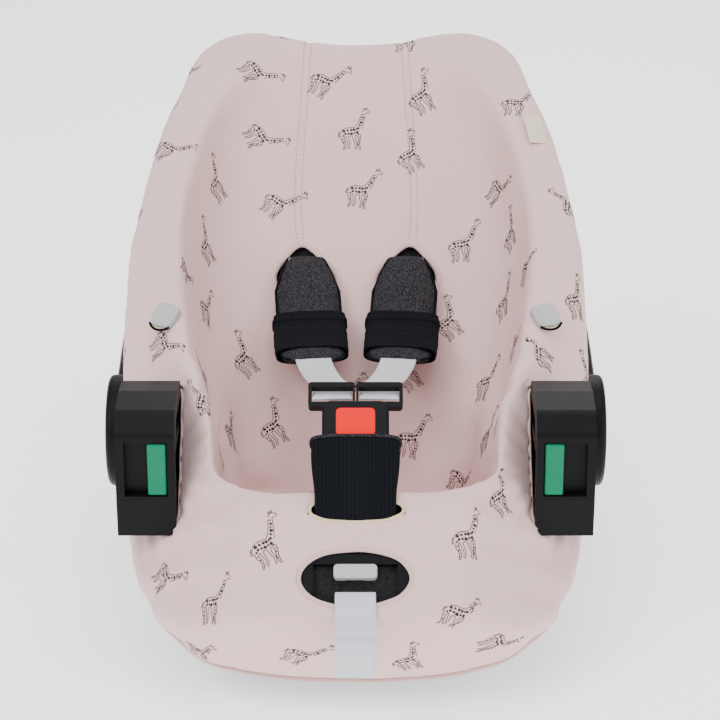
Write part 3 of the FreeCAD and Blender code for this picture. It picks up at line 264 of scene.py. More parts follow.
@dataclass(frozen=True)
class Finish:
    """A finish of the seat: its colours, its gloss and its fine surface."""

    name: str
    base: tuple
    second: tuple
    weave: Weave
    roughness: float = 0.8
    metallic: float = 0.0
    sheen: float = 0.0
    bump: float = 0.2
    scale: float = 1.0
    specular: float = 0.2

    def material(self) -> bpy.types.Material:
        """The finish's node material, made once."""
        found = bpy.data.materials.get(self.name)
        if found:
            return found
        mat = bpy.data.materials.new(self.name)
        mat.use_nodes = True
        nodes, links = mat.node_tree.nodes, mat.node_tree.links
        shader = nodes["Principled BSDF"]
        shader.inputs["Metallic"].default_value = self.metallic
        shader.inputs["Sheen Weight"].default_value = self.sheen
        shader.inputs["Specular IOR Level"].default_value = self.specular
        coords = nodes.new("ShaderNodeTexCoord")
        pattern, fine = self.pattern(nodes, links, coords.outputs["Object"])
        ramp = nodes.new("ShaderNodeMix")
        ramp.data_type = "RGBA"
        links.new(pattern, ramp.inputs["Factor"])
        ramp.inputs["A"].default_value = (*self.base, 1)
        ramp.inputs["B"].default_value = (*self.second, 1)
        links.new(ramp.outputs["Result"], shader.inputs["Base Color"])
        rough = nodes.new("ShaderNodeMapRange")
        rough.inputs["To Min"].default_value = max(self.roughness - 0.06, 0.05)
        rough.inputs["To Max"].default_value = min(self.roughness + 0.06, 1.0)
        links.new(pattern, rough.inputs["Value"])
        links.new(rough.outputs["Result"], shader.inputs["Roughness"])
        bump = nodes.new("ShaderNodeBump")
        bump.inputs["Strength"].default_value = self.bump
        bump.inputs["Distance"].default_value = 0.0006
        links.new(fine, bump.inputs["Height"])
        links.new(bump.outputs["Normal"], shader.inputs["Normal"])
        return mat

    def noise(self, nodes: bpy.types.Nodes, links: bpy.types.NodeLinks, where: bpy.types.NodeSocket,
              scale: float, detail: float = 3.0) -> bpy.types.NodeSocket:
        """A noise texture's value."""
        tex = nodes.new("ShaderNodeTexNoise")
        tex.inputs["Scale"].default_value = scale * self.scale
        tex.inputs["Detail"].default_value = detail
        links.new(where, tex.inputs["Vector"])
        return tex.outputs["Fac"]

    def wave(self, nodes: bpy.types.Nodes, links: bpy.types.NodeLinks, where: bpy.types.NodeSocket,
             direction: str, scale: float, distortion: float = 0.0) -> bpy.types.NodeSocket:
        """A wave texture's value."""
        tex = nodes.new("ShaderNodeTexWave")
        tex.bands_direction = direction
        tex.inputs["Scale"].default_value = scale * self.scale
        tex.inputs["Distortion"].default_value = distortion
        tex.inputs["Detail"].default_value = 1.0
        links.new(where, tex.inputs["Vector"])
        return tex.outputs["Fac"]

    def mixed(self, nodes: bpy.types.Nodes, links: bpy.types.NodeLinks, a: bpy.types.NodeSocket,
              b: bpy.types.NodeSocket, share: float) -> bpy.types.NodeSocket:
        """Two values mixed."""
        mix = nodes.new("ShaderNodeMix")
        mix.inputs["Factor"].default_value = share
        links.new(a, mix.inputs["A"])
        links.new(b, mix.inputs["B"])
        return mix.outputs["Result"]

    def pattern(self, nodes: bpy.types.Nodes, links: bpy.types.NodeLinks,
                where: bpy.types.NodeSocket) -> tuple:
        """The colour's pattern and the height of the fine surface, from the weave."""
        grain = self.noise(nodes, links, where, 900.0)
        if self.weave is Weave.JERSEY:
            cloud = self.noise(nodes, links, where, 9.0)
            ribs = self.wave(nodes, links, where, "X", 260.0, 0.6)
            return self.mixed(nodes, links, cloud, grain, 0.35), self.mixed(nodes, links, ribs, grain, 0.55)
        if self.weave is Weave.KNIT:
            ribs = self.wave(nodes, links, where, "X", 95.0, 0.3)
            rows = self.wave(nodes, links, where, "Z", 190.0, 0.5)
            height = self.mixed(nodes, links, ribs, rows, 0.35)
            return height, self.mixed(nodes, links, height, grain, 0.25)
        if self.weave is Weave.WEBBING:
            twill = self.wave(nodes, links, where, "DIAGONAL", 210.0, 0.4)
            rows = self.wave(nodes, links, where, "Y", 240.0, 0.2)
            height = self.mixed(nodes, links, twill, rows, 0.5)
            return height, self.mixed(nodes, links, height, grain, 0.2)
        if self.weave is Weave.MELANGE:
            flecks = self.noise(nodes, links, where, 420.0, 1.0)
            sharp = nodes.new("ShaderNodeMapRange")
            sharp.inputs["From Min"].default_value = 0.42
            sharp.inputs["From Max"].default_value = 0.6
            links.new(flecks, sharp.inputs["Value"])
            return sharp.outputs["Result"], self.mixed(nodes, links, flecks, grain, 0.5)
        if self.weave is Weave.BRUSHED:
            lines = self.wave(nodes, links, where, "Y", 300.0, 4.0)
            return self.mixed(nodes, links, lines, grain, 0.5), lines
        if self.weave is Weave.BEADS:
            cells = nodes.new("ShaderNodeTexVoronoi")
            cells.inputs["Scale"].default_value = 330.0 * self.scale
            links.new(where, cells.inputs["Vector"])
            return cells.outputs["Distance"], cells.outputs["Distance"]
        cloud = self.noise(nodes, links, where, 60.0)
        return self.mixed(nodes, links, cloud, grain, 0.5), self.noise(nodes, links, where, 1500.0, 1.0)


JERSEY = Finish("fine_jersey", (0.80, 0.575, 0.56), (0.73, 0.505, 0.49), Weave.JERSEY, 0.92, bump=0.35, specular=0.08)
HEM = Finish("cover_hem", (0.74, 0.52, 0.505), (0.66, 0.45, 0.435), Weave.JERSEY, 0.92, bump=0.4, specular=0.08)
THREAD = Finish("sewing_thread", (0.52, 0.34, 0.33), (0.42, 0.27, 0.26), Weave.WEBBING, 0.8)
INK = Finish("print_ink", (0.018, 0.017, 0.019), (0.05, 0.045, 0.05), Weave.JERSEY, 0.85)
OVERLOCK = Finish("overlock_thread", (0.80, 0.68, 0.42), (0.66, 0.54, 0.32), Weave.WEBBING, 0.85)
FOAM = Finish("bead_foam", (0.02, 0.02, 0.022), (0.009, 0.009, 0.010), Weave.BEADS, 0.85, bump=0.5, specular=0.1)
BLACK = Finish("black_moulding", (0.003, 0.0032, 0.004), (0.006, 0.0063, 0.0075), Weave.MOULDED, 0.42, bump=0.16, specular=0.1)
SHELL = Finish("shell_moulding", (0.004, 0.0042, 0.005), (0.008, 0.0083, 0.0095), Weave.MOULDED, 0.55, bump=0.3)
GREEN = Finish("green_marker", (0.002, 0.17, 0.082), (0.003, 0.20, 0.098), Weave.MOULDED, 0.4, bump=0.08,
               specular=0.1)
GREY = Finish("grey_moulding", (0.42, 0.425, 0.43), (0.47, 0.475, 0.48), Weave.MOULDED, 0.5, bump=0.1)
RED = Finish("red_button", (0.84, 0.002, 0.001), (0.90, 0.004, 0.002), Weave.MOULDED, 0.35, bump=0.05, specular=0.08)
STEEL = Finish("plain_steel", (0.52, 0.53, 0.54), (0.62, 0.63, 0.64), Weave.BRUSHED, 0.35, metallic=1.0, bump=0.1)
RUBBER = Finish("grip_rubber", (0.02, 0.02, 0.021), (0.035, 0.035, 0.036), Weave.MOULDED, 0.8, bump=0.5)
WEBBING = Finish("harness_webbing", (0.66, 0.69, 0.75), (0.53, 0.56, 0.61), Weave.WEBBING, 0.6, bump=0.5)
MELANGE = Finish("melange_jersey", (0.012, 0.0118, 0.0135), (0.046, 0.044, 0.050), Weave.MELANGE, 0.95, scale=2.0,
                 specular=0.08)
KNIT = Finish("ribbed_knit", (0.0022, 0.0026, 0.004), (0.0065, 0.0078, 0.011), Weave.KNIT, 0.9, bump=0.8, specular=0.1)
LABEL = Finish("label_tape", (0.80, 0.73, 0.55), (0.70, 0.63, 0.46), Weave.WEBBING, 0.85, bump=0.3, scale=1.4)


# ---- geometry nodes -----------------------------------------------------------------
def along_curve_tree(name: str, piece: bpy.types.Object, spacing: float, seed: int = 0,
                     finish: Finish = THREAD) -> bpy.types.NodeTree:
    """A tree that lays copies of a small piece along a curve.

    Args:
        name: the tree's name.
        piece: what is repeated, its length along X.
        spacing: distance between copies, in metres.
        seed: seed of their small changes in size.
        finish: the material they get.

    Returns:
        The node tree, ending in real geometry.
    """
    tree = bpy.data.node_groups.new(name, "GeometryNodeTree")
    face = tree.interface
    face.new_socket("Geometry", in_out="INPUT", socket_type="NodeSocketGeometry")
    face.new_socket("Spacing", in_out="INPUT", socket_type="NodeSocketFloat").default_value = spacing
    face.new_socket("Seed", in_out="INPUT", socket_type="NodeSocketInt").default_value = seed
    face.new_socket("Geometry", in_out="OUTPUT", socket_type="NodeSocketGeometry")
    n, link = tree.nodes, tree.links.new
    group_in, group_out = n.new("NodeGroupInput"), n.new("NodeGroupOutput")
    points = n.new("GeometryNodeCurveToPoints")
    points.mode = "LENGTH"
    link(group_in.outputs["Geometry"], points.inputs["Curve"])
    link(group_in.outputs["Spacing"], points.inputs["Length"])
    info = n.new("GeometryNodeObjectInfo")
    info.inputs["Object"].default_value = piece
    turn = n.new("FunctionNodeRandomValue")
    turn.data_type = "FLOAT"
    turn.inputs[2].default_value = 0.92
    turn.inputs[3].default_value = 1.08
    link(group_in.outputs["Seed"], turn.inputs["Seed"])
    inst = n.new("GeometryNodeInstanceOnPoints")
    link(points.outputs["Points"], inst.inputs["Points"])
    link(info.outputs["Geometry"], inst.inputs["Instance"])
    link(points.outputs["Rotation"], inst.inputs["Rotation"])
    link(turn.outputs[1], inst.inputs["Scale"])
    real = n.new("GeometryNodeRealizeInstances")
    link(inst.outputs["Instances"], real.inputs["Geometry"])
    dress = n.new("GeometryNodeSetMaterial")
    dress.inputs["Material"].default_value = finish.material()
    link(real.outputs["Geometry"], dress.inputs["Geometry"])
    link(dress.outputs["Geometry"], group_out.inputs["Geometry"])
    return tree


def baked(obj: bpy.types.Object, tree: bpy.types.NodeTree, name: str, values: dict | None = None) -> bpy.types.Object:
    """Runs a node tree on an object and keeps the result as a plain mesh.

    Args:
        obj: the object that the tree works on; it is removed.
        tree: the tree.
        name: the result's name.
        values: values of the tree's named inputs.

    Returns:
        The new mesh object.
    """
    mod = obj.modifiers.new("nodes", "NODES")
    mod.node_group = tree
    for item in tree.interface.items_tree:
        if item.in_out == "INPUT" and values and item.name in values:
            mod[item.identifier] = values[item.name]
    bpy.context.view_layer.update()
    done = bpy.data.meshes.new_from_object(obj.evaluated_get(bpy.context.evaluated_depsgraph_get()))
    bpy.data.objects.remove(obj)
    done.name = name
    result = bpy.data.objects.new(name, done)
    bpy.context.collection.objects.link(result)
    return result


def curve_object(name: str, line: np.ndarray, normals: np.ndarray | None = None, closed: bool = False) -> bpy.types.Object:
    """A poly curve through points in millimetres."""
    curve = bpy.data.curves.new(name, "CURVE")
    curve.dimensions = "3D"
    curve.twist_mode = "Z_UP"
    spline = curve.splines.new("POLY")
    spline.points.add(len(line) - 1)
    for point, p in zip(spline.points, line):
        point.co = (*(np.asarray(p) * MM), 1.0)
    spline.use_cyclic_u = closed
    obj = bpy.data.objects.new(name, curve)
    bpy.context.collection.objects.link(obj)
    return obj


def stitch(name: str, length: float, width: float) -> bpy.types.Object:
    """One stitch, a small spindle along Z of a curve's tangent, in millimetres."""
    rings = [(-0.5, 0.25), (-0.3, 0.9), (0.0, 1.0), (0.3, 0.9), (0.5, 0.25)]
    verts = []
    for t, r in rings:
        for k in range(6):
            a = math.pi / 3 * k
            verts.append((width / 2 * r * math.cos(a), width / 2 * r * math.sin(a), t * length))
    faces = grid_faces(5, 6, False, True)
    faces.append(tuple(range(6)))
    faces.append(tuple(reversed(range(24, 30))))
    obj = new_mesh(name, np.array(verts), faces)
    obj.hide_render = True
    return obj


# ---- the seat's form ----------------------------------------------------------------
HULL_OUTLINE = [
    (0.0, 0.963), (0.274, 0.978), (0.532, 1.0), (0.721, 0.941), (0.806, 0.814), (0.886, 0.650),
    (0.93, 0.506), (0.975, 0.273), (0.995, 0.055), (1.0, -0.226), (0.98, -0.5), (0.915, -0.71),
    (0.771, -0.871), (0.522, -0.968), (0.249, -0.997), (0.0, -1.0),
]
HULL_LEVELS = [
    (0.0, 1.0, 323, 390), (45.0, 1.005, 320, 389), (90.0, 0.975, 296, 384), (135.0, 0.925, 258, 366),
    (180.0, 0.846, 205, 322), (230.0, 0.736, 130, 262), (280.0, 0.597, 45, 200), (325.0, 0.448, -15, 150),
]
BASIN_OUTLINE = [
    (0.0, 1.0), (0.33, 0.995), (0.62, 0.972), (0.84, 0.895), (0.955, 0.74), (0.995, 0.5), (1.0, 0.22),
    (1.0, -0.1), (1.0, -0.4), (0.985, -0.66), (0.9, -0.88), (0.66, -0.98), (0.33, -1.0), (0.0, -1.0),
]
BASIN_LEVELS = [
    (0.0, 162.0, 120.0, 300.0, -284.0, 0.26), (50.0, 149.0, 114.0, 208.0, -285.0, 0.12),
    (94.0, 132.0, 109.0, 96.0, -284.0, 0.04), (125.0, 113.0, 104.0, 14.0, -238.0, 0.0),
    (150.0, 103.0, 100.0, -50.0, -200.0, 0.0), (184.0, 96.0, 94.0, -112.0, -160.0, 0.0),
]


@dataclass
class SeatForm:
    """The outer form and the basin, read along columns around the basin's deepest place."""

    columns: int = 420
    half_width: float = 201.0
    pole: float = -80.0
    basin_u: float = -139.0
    soft: float = 6.0
    apron: tuple = ((-278.0, 181.68), (-372.0, 91.0))
    corner: tuple = ((126.0, -215.0, 186.0), (178.0, -215.0, 100.0), (100.0, -285.0, 158.0))

    def __post_init__(self) -> None:
        """Reads both outlines at every level as radii around the basin's deepest place."""
        rim = closed_outline(self.hull_half(*HULL_LEVELS[0]))
        run = np.concatenate([[0.0], np.cumsum(np.linalg.norm(np.diff(rim, axis=0), axis=1))])
        even = np.linspace(0, run[-1], self.columns, endpoint=False)
        x, u = np.interp(even, run, rim[:, 0]), np.interp(even, run, rim[:, 1])
        self.angles = np.unwrap(np.arctan2(x, u - self.basin_u))
        self.hull_radii = np.array([self.polar(self.hull_half(*level)) for level in HULL_LEVELS])
        self.basin_radii = np.array([self.polar(self.basin_half(*level)) for level in BASIN_LEVELS])

    def hull_half(self, depth: float, share: float, head: float, foot: float) -> list:
        """The right half of the outer form at a depth."""
        lobes = max(0.0, 1.0 - depth / 150.0)
        half = []
        for x, t in HULL_OUTLINE:
            if t > 0:
                flat = 1.0 - 0.12 * x ** 2.4 if x < 0.6 else t
                u = self.pole + (t * lobes + flat * (1 - lobes)) * (head - self.pole)
            else:
                u = self.pole + t * (self.pole + foot)
            half.append((x * share * self.half_width, u))
        return half

    def basin_half(self, depth: float, wide: float, slim: float, head: float, foot: float, narrow: float) -> list:
        """The right half of the basin at a depth."""
        half = []
        for x, t in BASIN_OUTLINE:
            reach = head - self.basin_u if t > 0 else self.basin_u - foot
            width = slim + (wide - slim) * smooth(t + 0.45)
            half.append((x * width * (1 - narrow * max(t, 0.0) ** 2.5), self.basin_u + t * reach))
        return half

    def polar(self, half: list) -> np.ndarray:
        """An outline's radius at each of the form's angles."""
        ring = closed_outline(half)
        angle = np.arctan2(ring[:, 0], ring[:, 1] - self.basin_u) % (2 * math.pi)
        radius = np.hypot(ring[:, 0], ring[:, 1] - self.basin_u)
        order = np.argsort(angle)
        return np.interp(self.angles % (2 * math.pi), angle[order], radius[order], period=2 * math.pi)

    def top(self, x: np.ndarray, y: np.ndarray) -> np.ndarray:
        """Height of the top surface, the rim plane softened into the apron and the front corners."""
        (y0, z0), (y1, z1) = self.apron
        heights = [RIM_Z + TAN * y, z0 + (z0 - z1) / (y0 - y1) * (y - y0)]
        a, b, c = (np.array(p) for p in self.corner)
        normal = np.cross(b - a, c - a)
        normal *= math.copysign(1.0, normal[2])
        heights.append(a[2] - (normal[0] * (np.abs(x) - a[0]) + normal[1] * (y - a[1])) / normal[2])
        total = sum(np.exp(-(h - heights[0]) / self.soft) for h in heights)
        return heights[0] - self.soft * np.log(total)

    def walls(self, basin: bool, depths: np.ndarray, outset: float = 0.0) -> np.ndarray:
        """Points of the outer or the basin wall, one row per depth and one column per angle."""
        levels = BASIN_LEVELS if basin else HULL_LEVELS
        known = np.array([level[0] for level in levels])
        radii = natural_spline(known, self.basin_radii if basin else self.hull_radii, np.clip(depths, 0, known[-1]))
        radii = radii + outset
        return seat_points(
            radii * np.sin(self.angles), self.basin_u + radii * np.cos(self.angles), depths[:, None])

    def meets_top(self, wall: np.ndarray) -> np.ndarray:
        """Where each column of a wall comes up through the top surface, as a row number with a fraction."""
        above = wall[..., 2] - self.top(wall[..., 0], wall[..., 1])
        rows = np.zeros(wall.shape[1])
        for j in range(wall.shape[1]):
            inside = np.nonzero(above[:, j] < 0)[0]
            i = max(int(inside[0]), 1) if len(inside) else 1
            a, b = above[i - 1, j], above[i, j]
            rows[j] = i - 1 + (a / (a - b) if a > 0 > b else 0.0)
        return rows


def read_rows(grid: np.ndarray, rows: np.ndarray) -> np.ndarray:
    """Points of a grid at row numbers with fractions, one row of numbers per result row."""
    low = np.clip(np.floor(rows).astype(int), 0, len(grid) - 2)
    share = (rows - low)[..., None]
    cols = np.arange(grid.shape[1])
    return grid[low, cols] * (1 - share) + grid[low + 1, cols] * share


def evened(column: np.ndarray, count: int) -> np.ndarray:
    """A column of points spread evenly along its own length."""
    run = np.concatenate([[0.0], np.cumsum(np.linalg.norm(np.diff(column, axis=0), axis=1))])
    even = np.linspace(0, run[-1], count)
    return np.stack([np.interp(even, run, column[:, k]) for k in range(3)], axis=1)


def grid_normals(grid: np.ndarray) -> np.ndarray:
    """Unit normals of a grid of points whose columns close around."""
    down = np.gradient(grid, axis=0)
    around = np.roll(grid, -1, axis=1) - np.roll(grid, 1, axis=1)
    normal = np.cross(down, around)
    length = np.linalg.norm(normal, axis=-1, keepdims=True)
    return normal / np.maximum(length, 1e-9)


@dataclass
class Cover:
    """The fitted cover, its hems, seams, stitches and print."""

    form: SeatForm
    rows: int = 250
    hem_front: tuple = (-262.0, 31.0)
    hem_back: tuple = (330.0, 268.0)
    hub_gap: float = 54.5
    floor_depth: float = 184.0
    guide: tuple = (144.0, -233.0, -125.0, 131.0)
    guide_top: tuple = ((-234, 162), (-230.7, 220), (-216.4, 235), (-183.4, 239), (-150.4, 235), (-128, 211), (-124, 162))
    opening: tuple = (47.0, 78.0, 30.0, 34.0)
    adjuster: tuple = (-324.3, 45.0, 24.0)
    slit: tuple = (-281.0, 40.0, 8.5)
    motif_gap: float = 60.0
    liner_room: float = 6.5
    liner_from: int = 40
    liner_half: float = 90.0
    edges: list = field(default_factory=list)
    basin_row: np.ndarray = field(default_factory=lambda: np.zeros(1))

    def hem_height(self, y: np.ndarray) -> np.ndarray:
        """Height of the hem over the floor, arched over the hubs."""
        (y0, z0), (y1, z1) = self.hem_front, self.hem_back
        plain = z0 + (y - y0) * (z1 - z0) / (y1 - y0)
        dy = np.clip(np.abs(y - PIVOT[0]) / self.hub_gap, 0, 1)
        arch = np.where(dy < 1, PIVOT[1] + self.hub_gap * np.sqrt(1 - dy ** 2), -1e3)
        return 0.5 * (plain + arch + np.sqrt((plain - arch) ** 2 + 60.0))

    def make_grid(self, inset: float = 0.0, down_to_hem: bool = True) -> np.ndarray:
        """The cover as a grid: columns from the hem up, over the rim, down into the basin, to its middle."""
        form = self.form
        outer_d = np.linspace(-20, 325, 700)
        outer = form.walls(False, outer_d, -inset)
        top_row = form.meets_top(outer)
        hem_side = outer[..., 2] - self.hem_height(outer[..., 1]) < 0
        low_row = np.array([
            np.nonzero(hem_side[:, j])[0][0] if hem_side[:, j].any() else len(outer) - 1
            for j in range(outer.shape[1])], float)
        low_row = np.maximum(low_row, top_row + 6)
        inner_d = np.linspace(-12, self.floor_depth, 400)
        inner = form.walls(True, inner_d, inset)
        in_row = form.meets_top(inner)
        share = np.linspace(0, 1, 90)[:, None]
        wall = read_rows(outer, low_row + (top_row - low_row) * share)
        down = read_rows(inner, in_row + (len(inner) - 1 - in_row) * share)
        across = wall[-1] + (down[0] - wall[-1]) * np.linspace(0, 1, 42)[1:-1, None, None]
        across[..., 2] = form.top(across[..., 0], across[..., 1])
        middle = seat_points(0.0, form.basin_u, self.floor_depth)
        floor = down[-1] + (middle - down[-1]) * np.linspace(0, 1, 16)[1:-1, None, None]
        raw = np.concatenate([wall, across, down, floor])
        steps = np.concatenate([np.zeros((1, raw.shape[1])), np.linalg.norm(np.diff(raw, axis=0), axis=2)])
        run = np.cumsum(steps, axis=0) / steps.sum(axis=0)
        self.basin_row = run[len(wall) + len(across)] * (self.rows - 1)
        grid = np.stack([evened(raw[:, j], self.rows) for j in range(raw.shape[1])], axis=1)
        for _ in range(9):
            grid[1:-1] = 0.25 * grid[:-2] + 0.5 * grid[1:-1] + 0.25 * grid[2:]
        for _ in range(3):
            grid[1:-1] = (0.25 * np.roll(grid, 1, axis=1) + 0.5 * grid + 0.25 * np.roll(grid, -1, axis=1))[1:-1]
        if inset:
            grid = grid - grid_normals(grid) * inset
        return grid

    def softened(self, grid: np.ndarray) -> np.ndarray:
        """The grid with the cloth's slack, its drawn folds and its seam grooves."""
        normals = grid_normals(grid)
        flat = grid.reshape(-1, 3)
        lift = np.array([noise.noise(Vector(p) / 46.0) * 1.5 + noise.noise(Vector(p) / 17.0) * 0.5 for p in flat])
        lift += 0.9
        x, y, z = np.abs(flat[:, 0]), flat[:, 1], flat[:, 2]
        reach = np.hypot(y + 178, z - 150)
        fan = np.arctan2(z - 150, y + 178)
        near = np.exp(-((reach - 75) / 45) ** 2) * (x > 120)
        lift += near * 1.7 * np.sin(fan * 19 + x * 0.05)
        hub = np.hypot(y - PIVOT[0], z - PIVOT[1])
        lift += np.exp(-((hub - 62) / 20) ** 2) * (x > 140) * 1.5 * np.sin(np.arctan2(z - PIVOT[1], y - PIVOT[0]) * 13)
        corner = np.exp(-((y + 255) / 45) ** 2) * (x > 95)
        lift += corner * 2.0 * np.sin((z + 0.6 * y) * 0.16 + x * 0.02)
        lift -= self.seam_groove(flat)
        lift = lift.reshape(grid.shape[:2])
        lift[-12:] *= np.linspace(1, 0.3, 12)[:, None]
        return grid + normals * lift[..., None]

    def lifted_clear(self, grid: np.ndarray, node: str, room: float) -> np.ndarray:
        """The grid moved outwards where a rigid part under it would show through."""
        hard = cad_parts[node]
        tree = BVHTree.FromPolygons([v.co for v in hard.data.vertices], [p.vertices for p in hard.data.polygons])
        normals = grid_normals(grid)
        need = np.zeros(grid.shape[:2])
        for i, j in np.ndindex(*need.shape):
            start, way = Vector(grid[i, j]) * MM, Vector(normals[i, j])
            begin = start - way * 0.0005
            for _ in range(3):
                hit, _, _, far = tree.ray_cast(begin, way, 0.014)
                if hit is None:
                    break
                need[i, j] = (hit - start).length / MM + room
                begin = hit + way * 0.0002
            if need[i, j] == 0:
                _, _, _, gap = tree.find_nearest(start)
                need[i, j] = max(room - gap / MM, 0.0)
        for _ in range(2):
            spread = need.copy()
            spread[1:] = np.maximum(spread[1:], need[:-1])
            spread[:-1] = np.maximum(spread[:-1], need[1:])
            need = np.maximum(spread, np.maximum(np.roll(need, 1, axis=1), np.roll(need, -1, axis=1)))
        wanted = need.copy()
        for _ in range(3):
            wanted[1:-1] = 0.25 * wanted[:-2] + 0.5 * wanted[1:-1] + 0.25 * wanted[2:]
            wanted = 0.25 * np.roll(wanted, 1, axis=1) + 0.5 * wanted + 0.25 * np.roll(wanted, -1, axis=1)
        return grid + normals * wanted[..., None]

    def seam_lines(self) -> list:
        """The two seams of the back panel, from the head rim to the shoulder openings, as (x, u) pairs."""
        return [
            [(sx * 46.0, 313.0), (sx * 50.0, 250.0), (sx * 54.0, 190.0), (sx * 55.0, 140.0), (sx * 52.0, 110.0)]
            for _, sx in SIDES]

    def seam_groove(self, flat: np.ndarray) -> np.ndarray:
        """How deep the cloth is drawn in along the back panel's seams."""
        u = flat[:, 1] * COS + (flat[:, 2] - RIM_Z) * SIN
        depth = np.zeros(len(flat))
        for line in self.seam_lines():
            p = np.array(line)[::-1]
            at = np.interp(u, p[:, 1], p[:, 0])
            band = (u > 104) & (u < 318)
            depth += np.where(band, 2.0 * np.exp(-((flat[:, 0] - at) / 3.2) ** 2), 0.0)
        return depth

    def outlines(self) -> dict:
        """The openings: for each one, a function that tells how far outside it a point is."""
        def teardrop(sx: int) -> object:
            """The shoulder opening on one side."""
            x0, u0, half, tall = self.opening

            def outside(p: np.ndarray) -> np.ndarray:
                """Signed distance share of points."""
                u = p[..., 1] * COS + (p[..., 2] - RIM_Z) * SIN
                v = (u - u0) / tall
                lean = p[..., 0] - sx * (x0 + 0.12 * (u - u0))
                wide = half * np.clip(1 - 0.16 * np.clip(v, -1, 1.2), 0.25, 1.4)
                power = np.where(v > 0, 1.28, 2.0)
                inner = (p[..., 1] > -40) & (p[..., 2] < 300) & (np.abs(p[..., 0]) < 110)
                share = (np.abs(lean / wide) ** power + np.abs(v) ** power) ** (1 / power)
                return np.where(inner, share - 1, 9.0)

            return outside

        def lens(p: np.ndarray) -> np.ndarray:
            """The adjuster's opening in the apron."""
            y0, wide, tall = self.adjuster
            v = (p[..., 1] - y0) / (tall * 0.72)
            front = (p[..., 1] < -280) & (p[..., 2] > 100)
            return np.where(front, np.hypot(p[..., 0] / wide, v) ** 1.25 - 1, 9.0)

        def slit(p: np.ndarray) -> np.ndarray:
            """The crotch pad's slit in the ridge."""
            y0, wide, tall = self.slit
            high = p[..., 2] > 165
            return np.where(high, np.hypot(p[..., 0] / wide, (p[..., 1] - y0) / tall) - 1, 9.0)

        return {"opening_left": teardrop(-1), "opening_right": teardrop(1), "adjuster": lens, "slit": slit}

    def cut_openings(self, grid: np.ndarray) -> tuple:
        """Finds which points go, and moves the points beside each opening onto its outline."""
        gone = np.zeros(grid.shape[:2], bool)
        for name, outside in self.outlines().items():
            share = outside(grid)
            inside = share < 0
            if not inside.any():
                LOG.warning("opening %s is empty", name)
                continue
            near = inside & self.touches(~inside)
            middle = grid[inside].mean(axis=0)
            for i, j in zip(*np.nonzero(near)):
                grid[i, j] = self.on_outline(grid, i, j, inside, outside, middle)
            gone |= inside & ~near
        x_in, y0, y1, z0 = self.guide
        side, y, z = np.abs(grid[..., 0]), grid[..., 1], grid[..., 2]
        in_basin = np.arange(len(grid))[:, None] > self.basin_row - 6
        height = np.interp(y, *np.array(self.guide_top).T) + 1.5
        reach = x_in - 4.0 + 0.45 * np.clip(np.maximum(y0 - y, y - y1), 0, 60) + 0.8 * np.clip(z - height, 0, 60)
        pressed = in_basin & (z > z0 - 20) & (side > reach)
        grid[..., 0] = np.where(pressed, np.copysign(reach, grid[..., 0]), grid[..., 0])
        inside = (side > x_in) & (y > y0) & (y < y1) & (z > z0) & (z < height) & ~in_basin
        near = inside & self.touches(~inside)
        for i, j in zip(*np.nonzero(near)):
            p = grid[i, j]
            steps = {0: abs(p[0]) - x_in, 1: min(p[1] - y0, y1 - p[1]), 2: p[2] - z0, 3: height[i, j] - p[2]}
            axis = min(steps, key=steps.get)
            if axis == 0:
                p[0] = math.copysign(x_in, p[0])
            elif axis == 1:
                p[1] = y0 if p[1] - y0 < y1 - p[1] else y1
            else:
                p[2] = z0 if axis == 2 else height[i, j]
        gone |= inside & ~near
        return grid, gone

    def touches(self, mask: np.ndarray) -> np.ndarray:
        """Points that have a point of the mask beside them."""
        up, down = np.zeros_like(mask), np.zeros_like(mask)
        up[1:], down[:-1] = mask[:-1], mask[1:]
        return up | down | np.roll(mask, 1, axis=1) | np.roll(mask, -1, axis=1)

    def on_outline(self, grid: np.ndarray, i: int, j: int, inside: np.ndarray, outside: object,
                   middle: np.ndarray) -> np.ndarray:
        """A point moved along the cloth, away from the opening's middle, onto its outline."""
        cols = grid.shape[1]
        best, where = 1e9, grid[i, j]
        for di, dj in ((1, 0), (-1, 0), (0, 1), (0, -1)):
            a, b = i + di, (j + dj) % cols
            if 0 <= a < grid.shape[0] and not inside[a, b]:
                lo, hi = grid[i, j].copy(), grid[a, b].copy()
                for _ in range(12):
                    mid = (lo + hi) / 2
                    if outside(mid) < 0:
                        lo = mid
                    else:
                        hi = mid
                gap = np.linalg.norm(hi - grid[i, j])
                if gap < best:
                    best, where = gap, hi
        return where

    def build(self) -> bpy.types.Object:
        """Builds the cover, its liner and everything sewn to or printed on it.

        Returns:
            The cover.
        """
        grid = self.lifted_clear(self.softened(self.make_grid()), "outer_shell", 2.0)
        self.build_liner(grid)
        grid, gone = self.cut_openings(grid)
        rows, cols = gone.shape
        middle = seat_points(0.0, self.form.basin_u, self.floor_depth)
        verts = np.vstack([grid.reshape(-1, 3), middle])
        faces = []
        for i in range(rows - 1):
            for j in range(cols):
                k = (j + 1) % cols
                if not (gone[i, j] or gone[i, k] or gone[i + 1, j] or gone[i + 1, k]):
                    faces.append((i * cols + j, i * cols + k, (i + 1) * cols + k, (i + 1) * cols + j))
        last = (rows - 1) * cols
        faces += [(last + j, last + (j + 1) % cols, len(verts) - 1) for j in range(cols)]
        cover = new_mesh("cover", verts, faces)
        self.tidy(cover)
        self.edges = self.loops(cover)
        self.stitch_and_hem(cover)
        self.print_motifs(cover)
        self.thicken(cover)
        placed(cover, JERSEY, SEAT, ("fabric_cover",))
        return cover

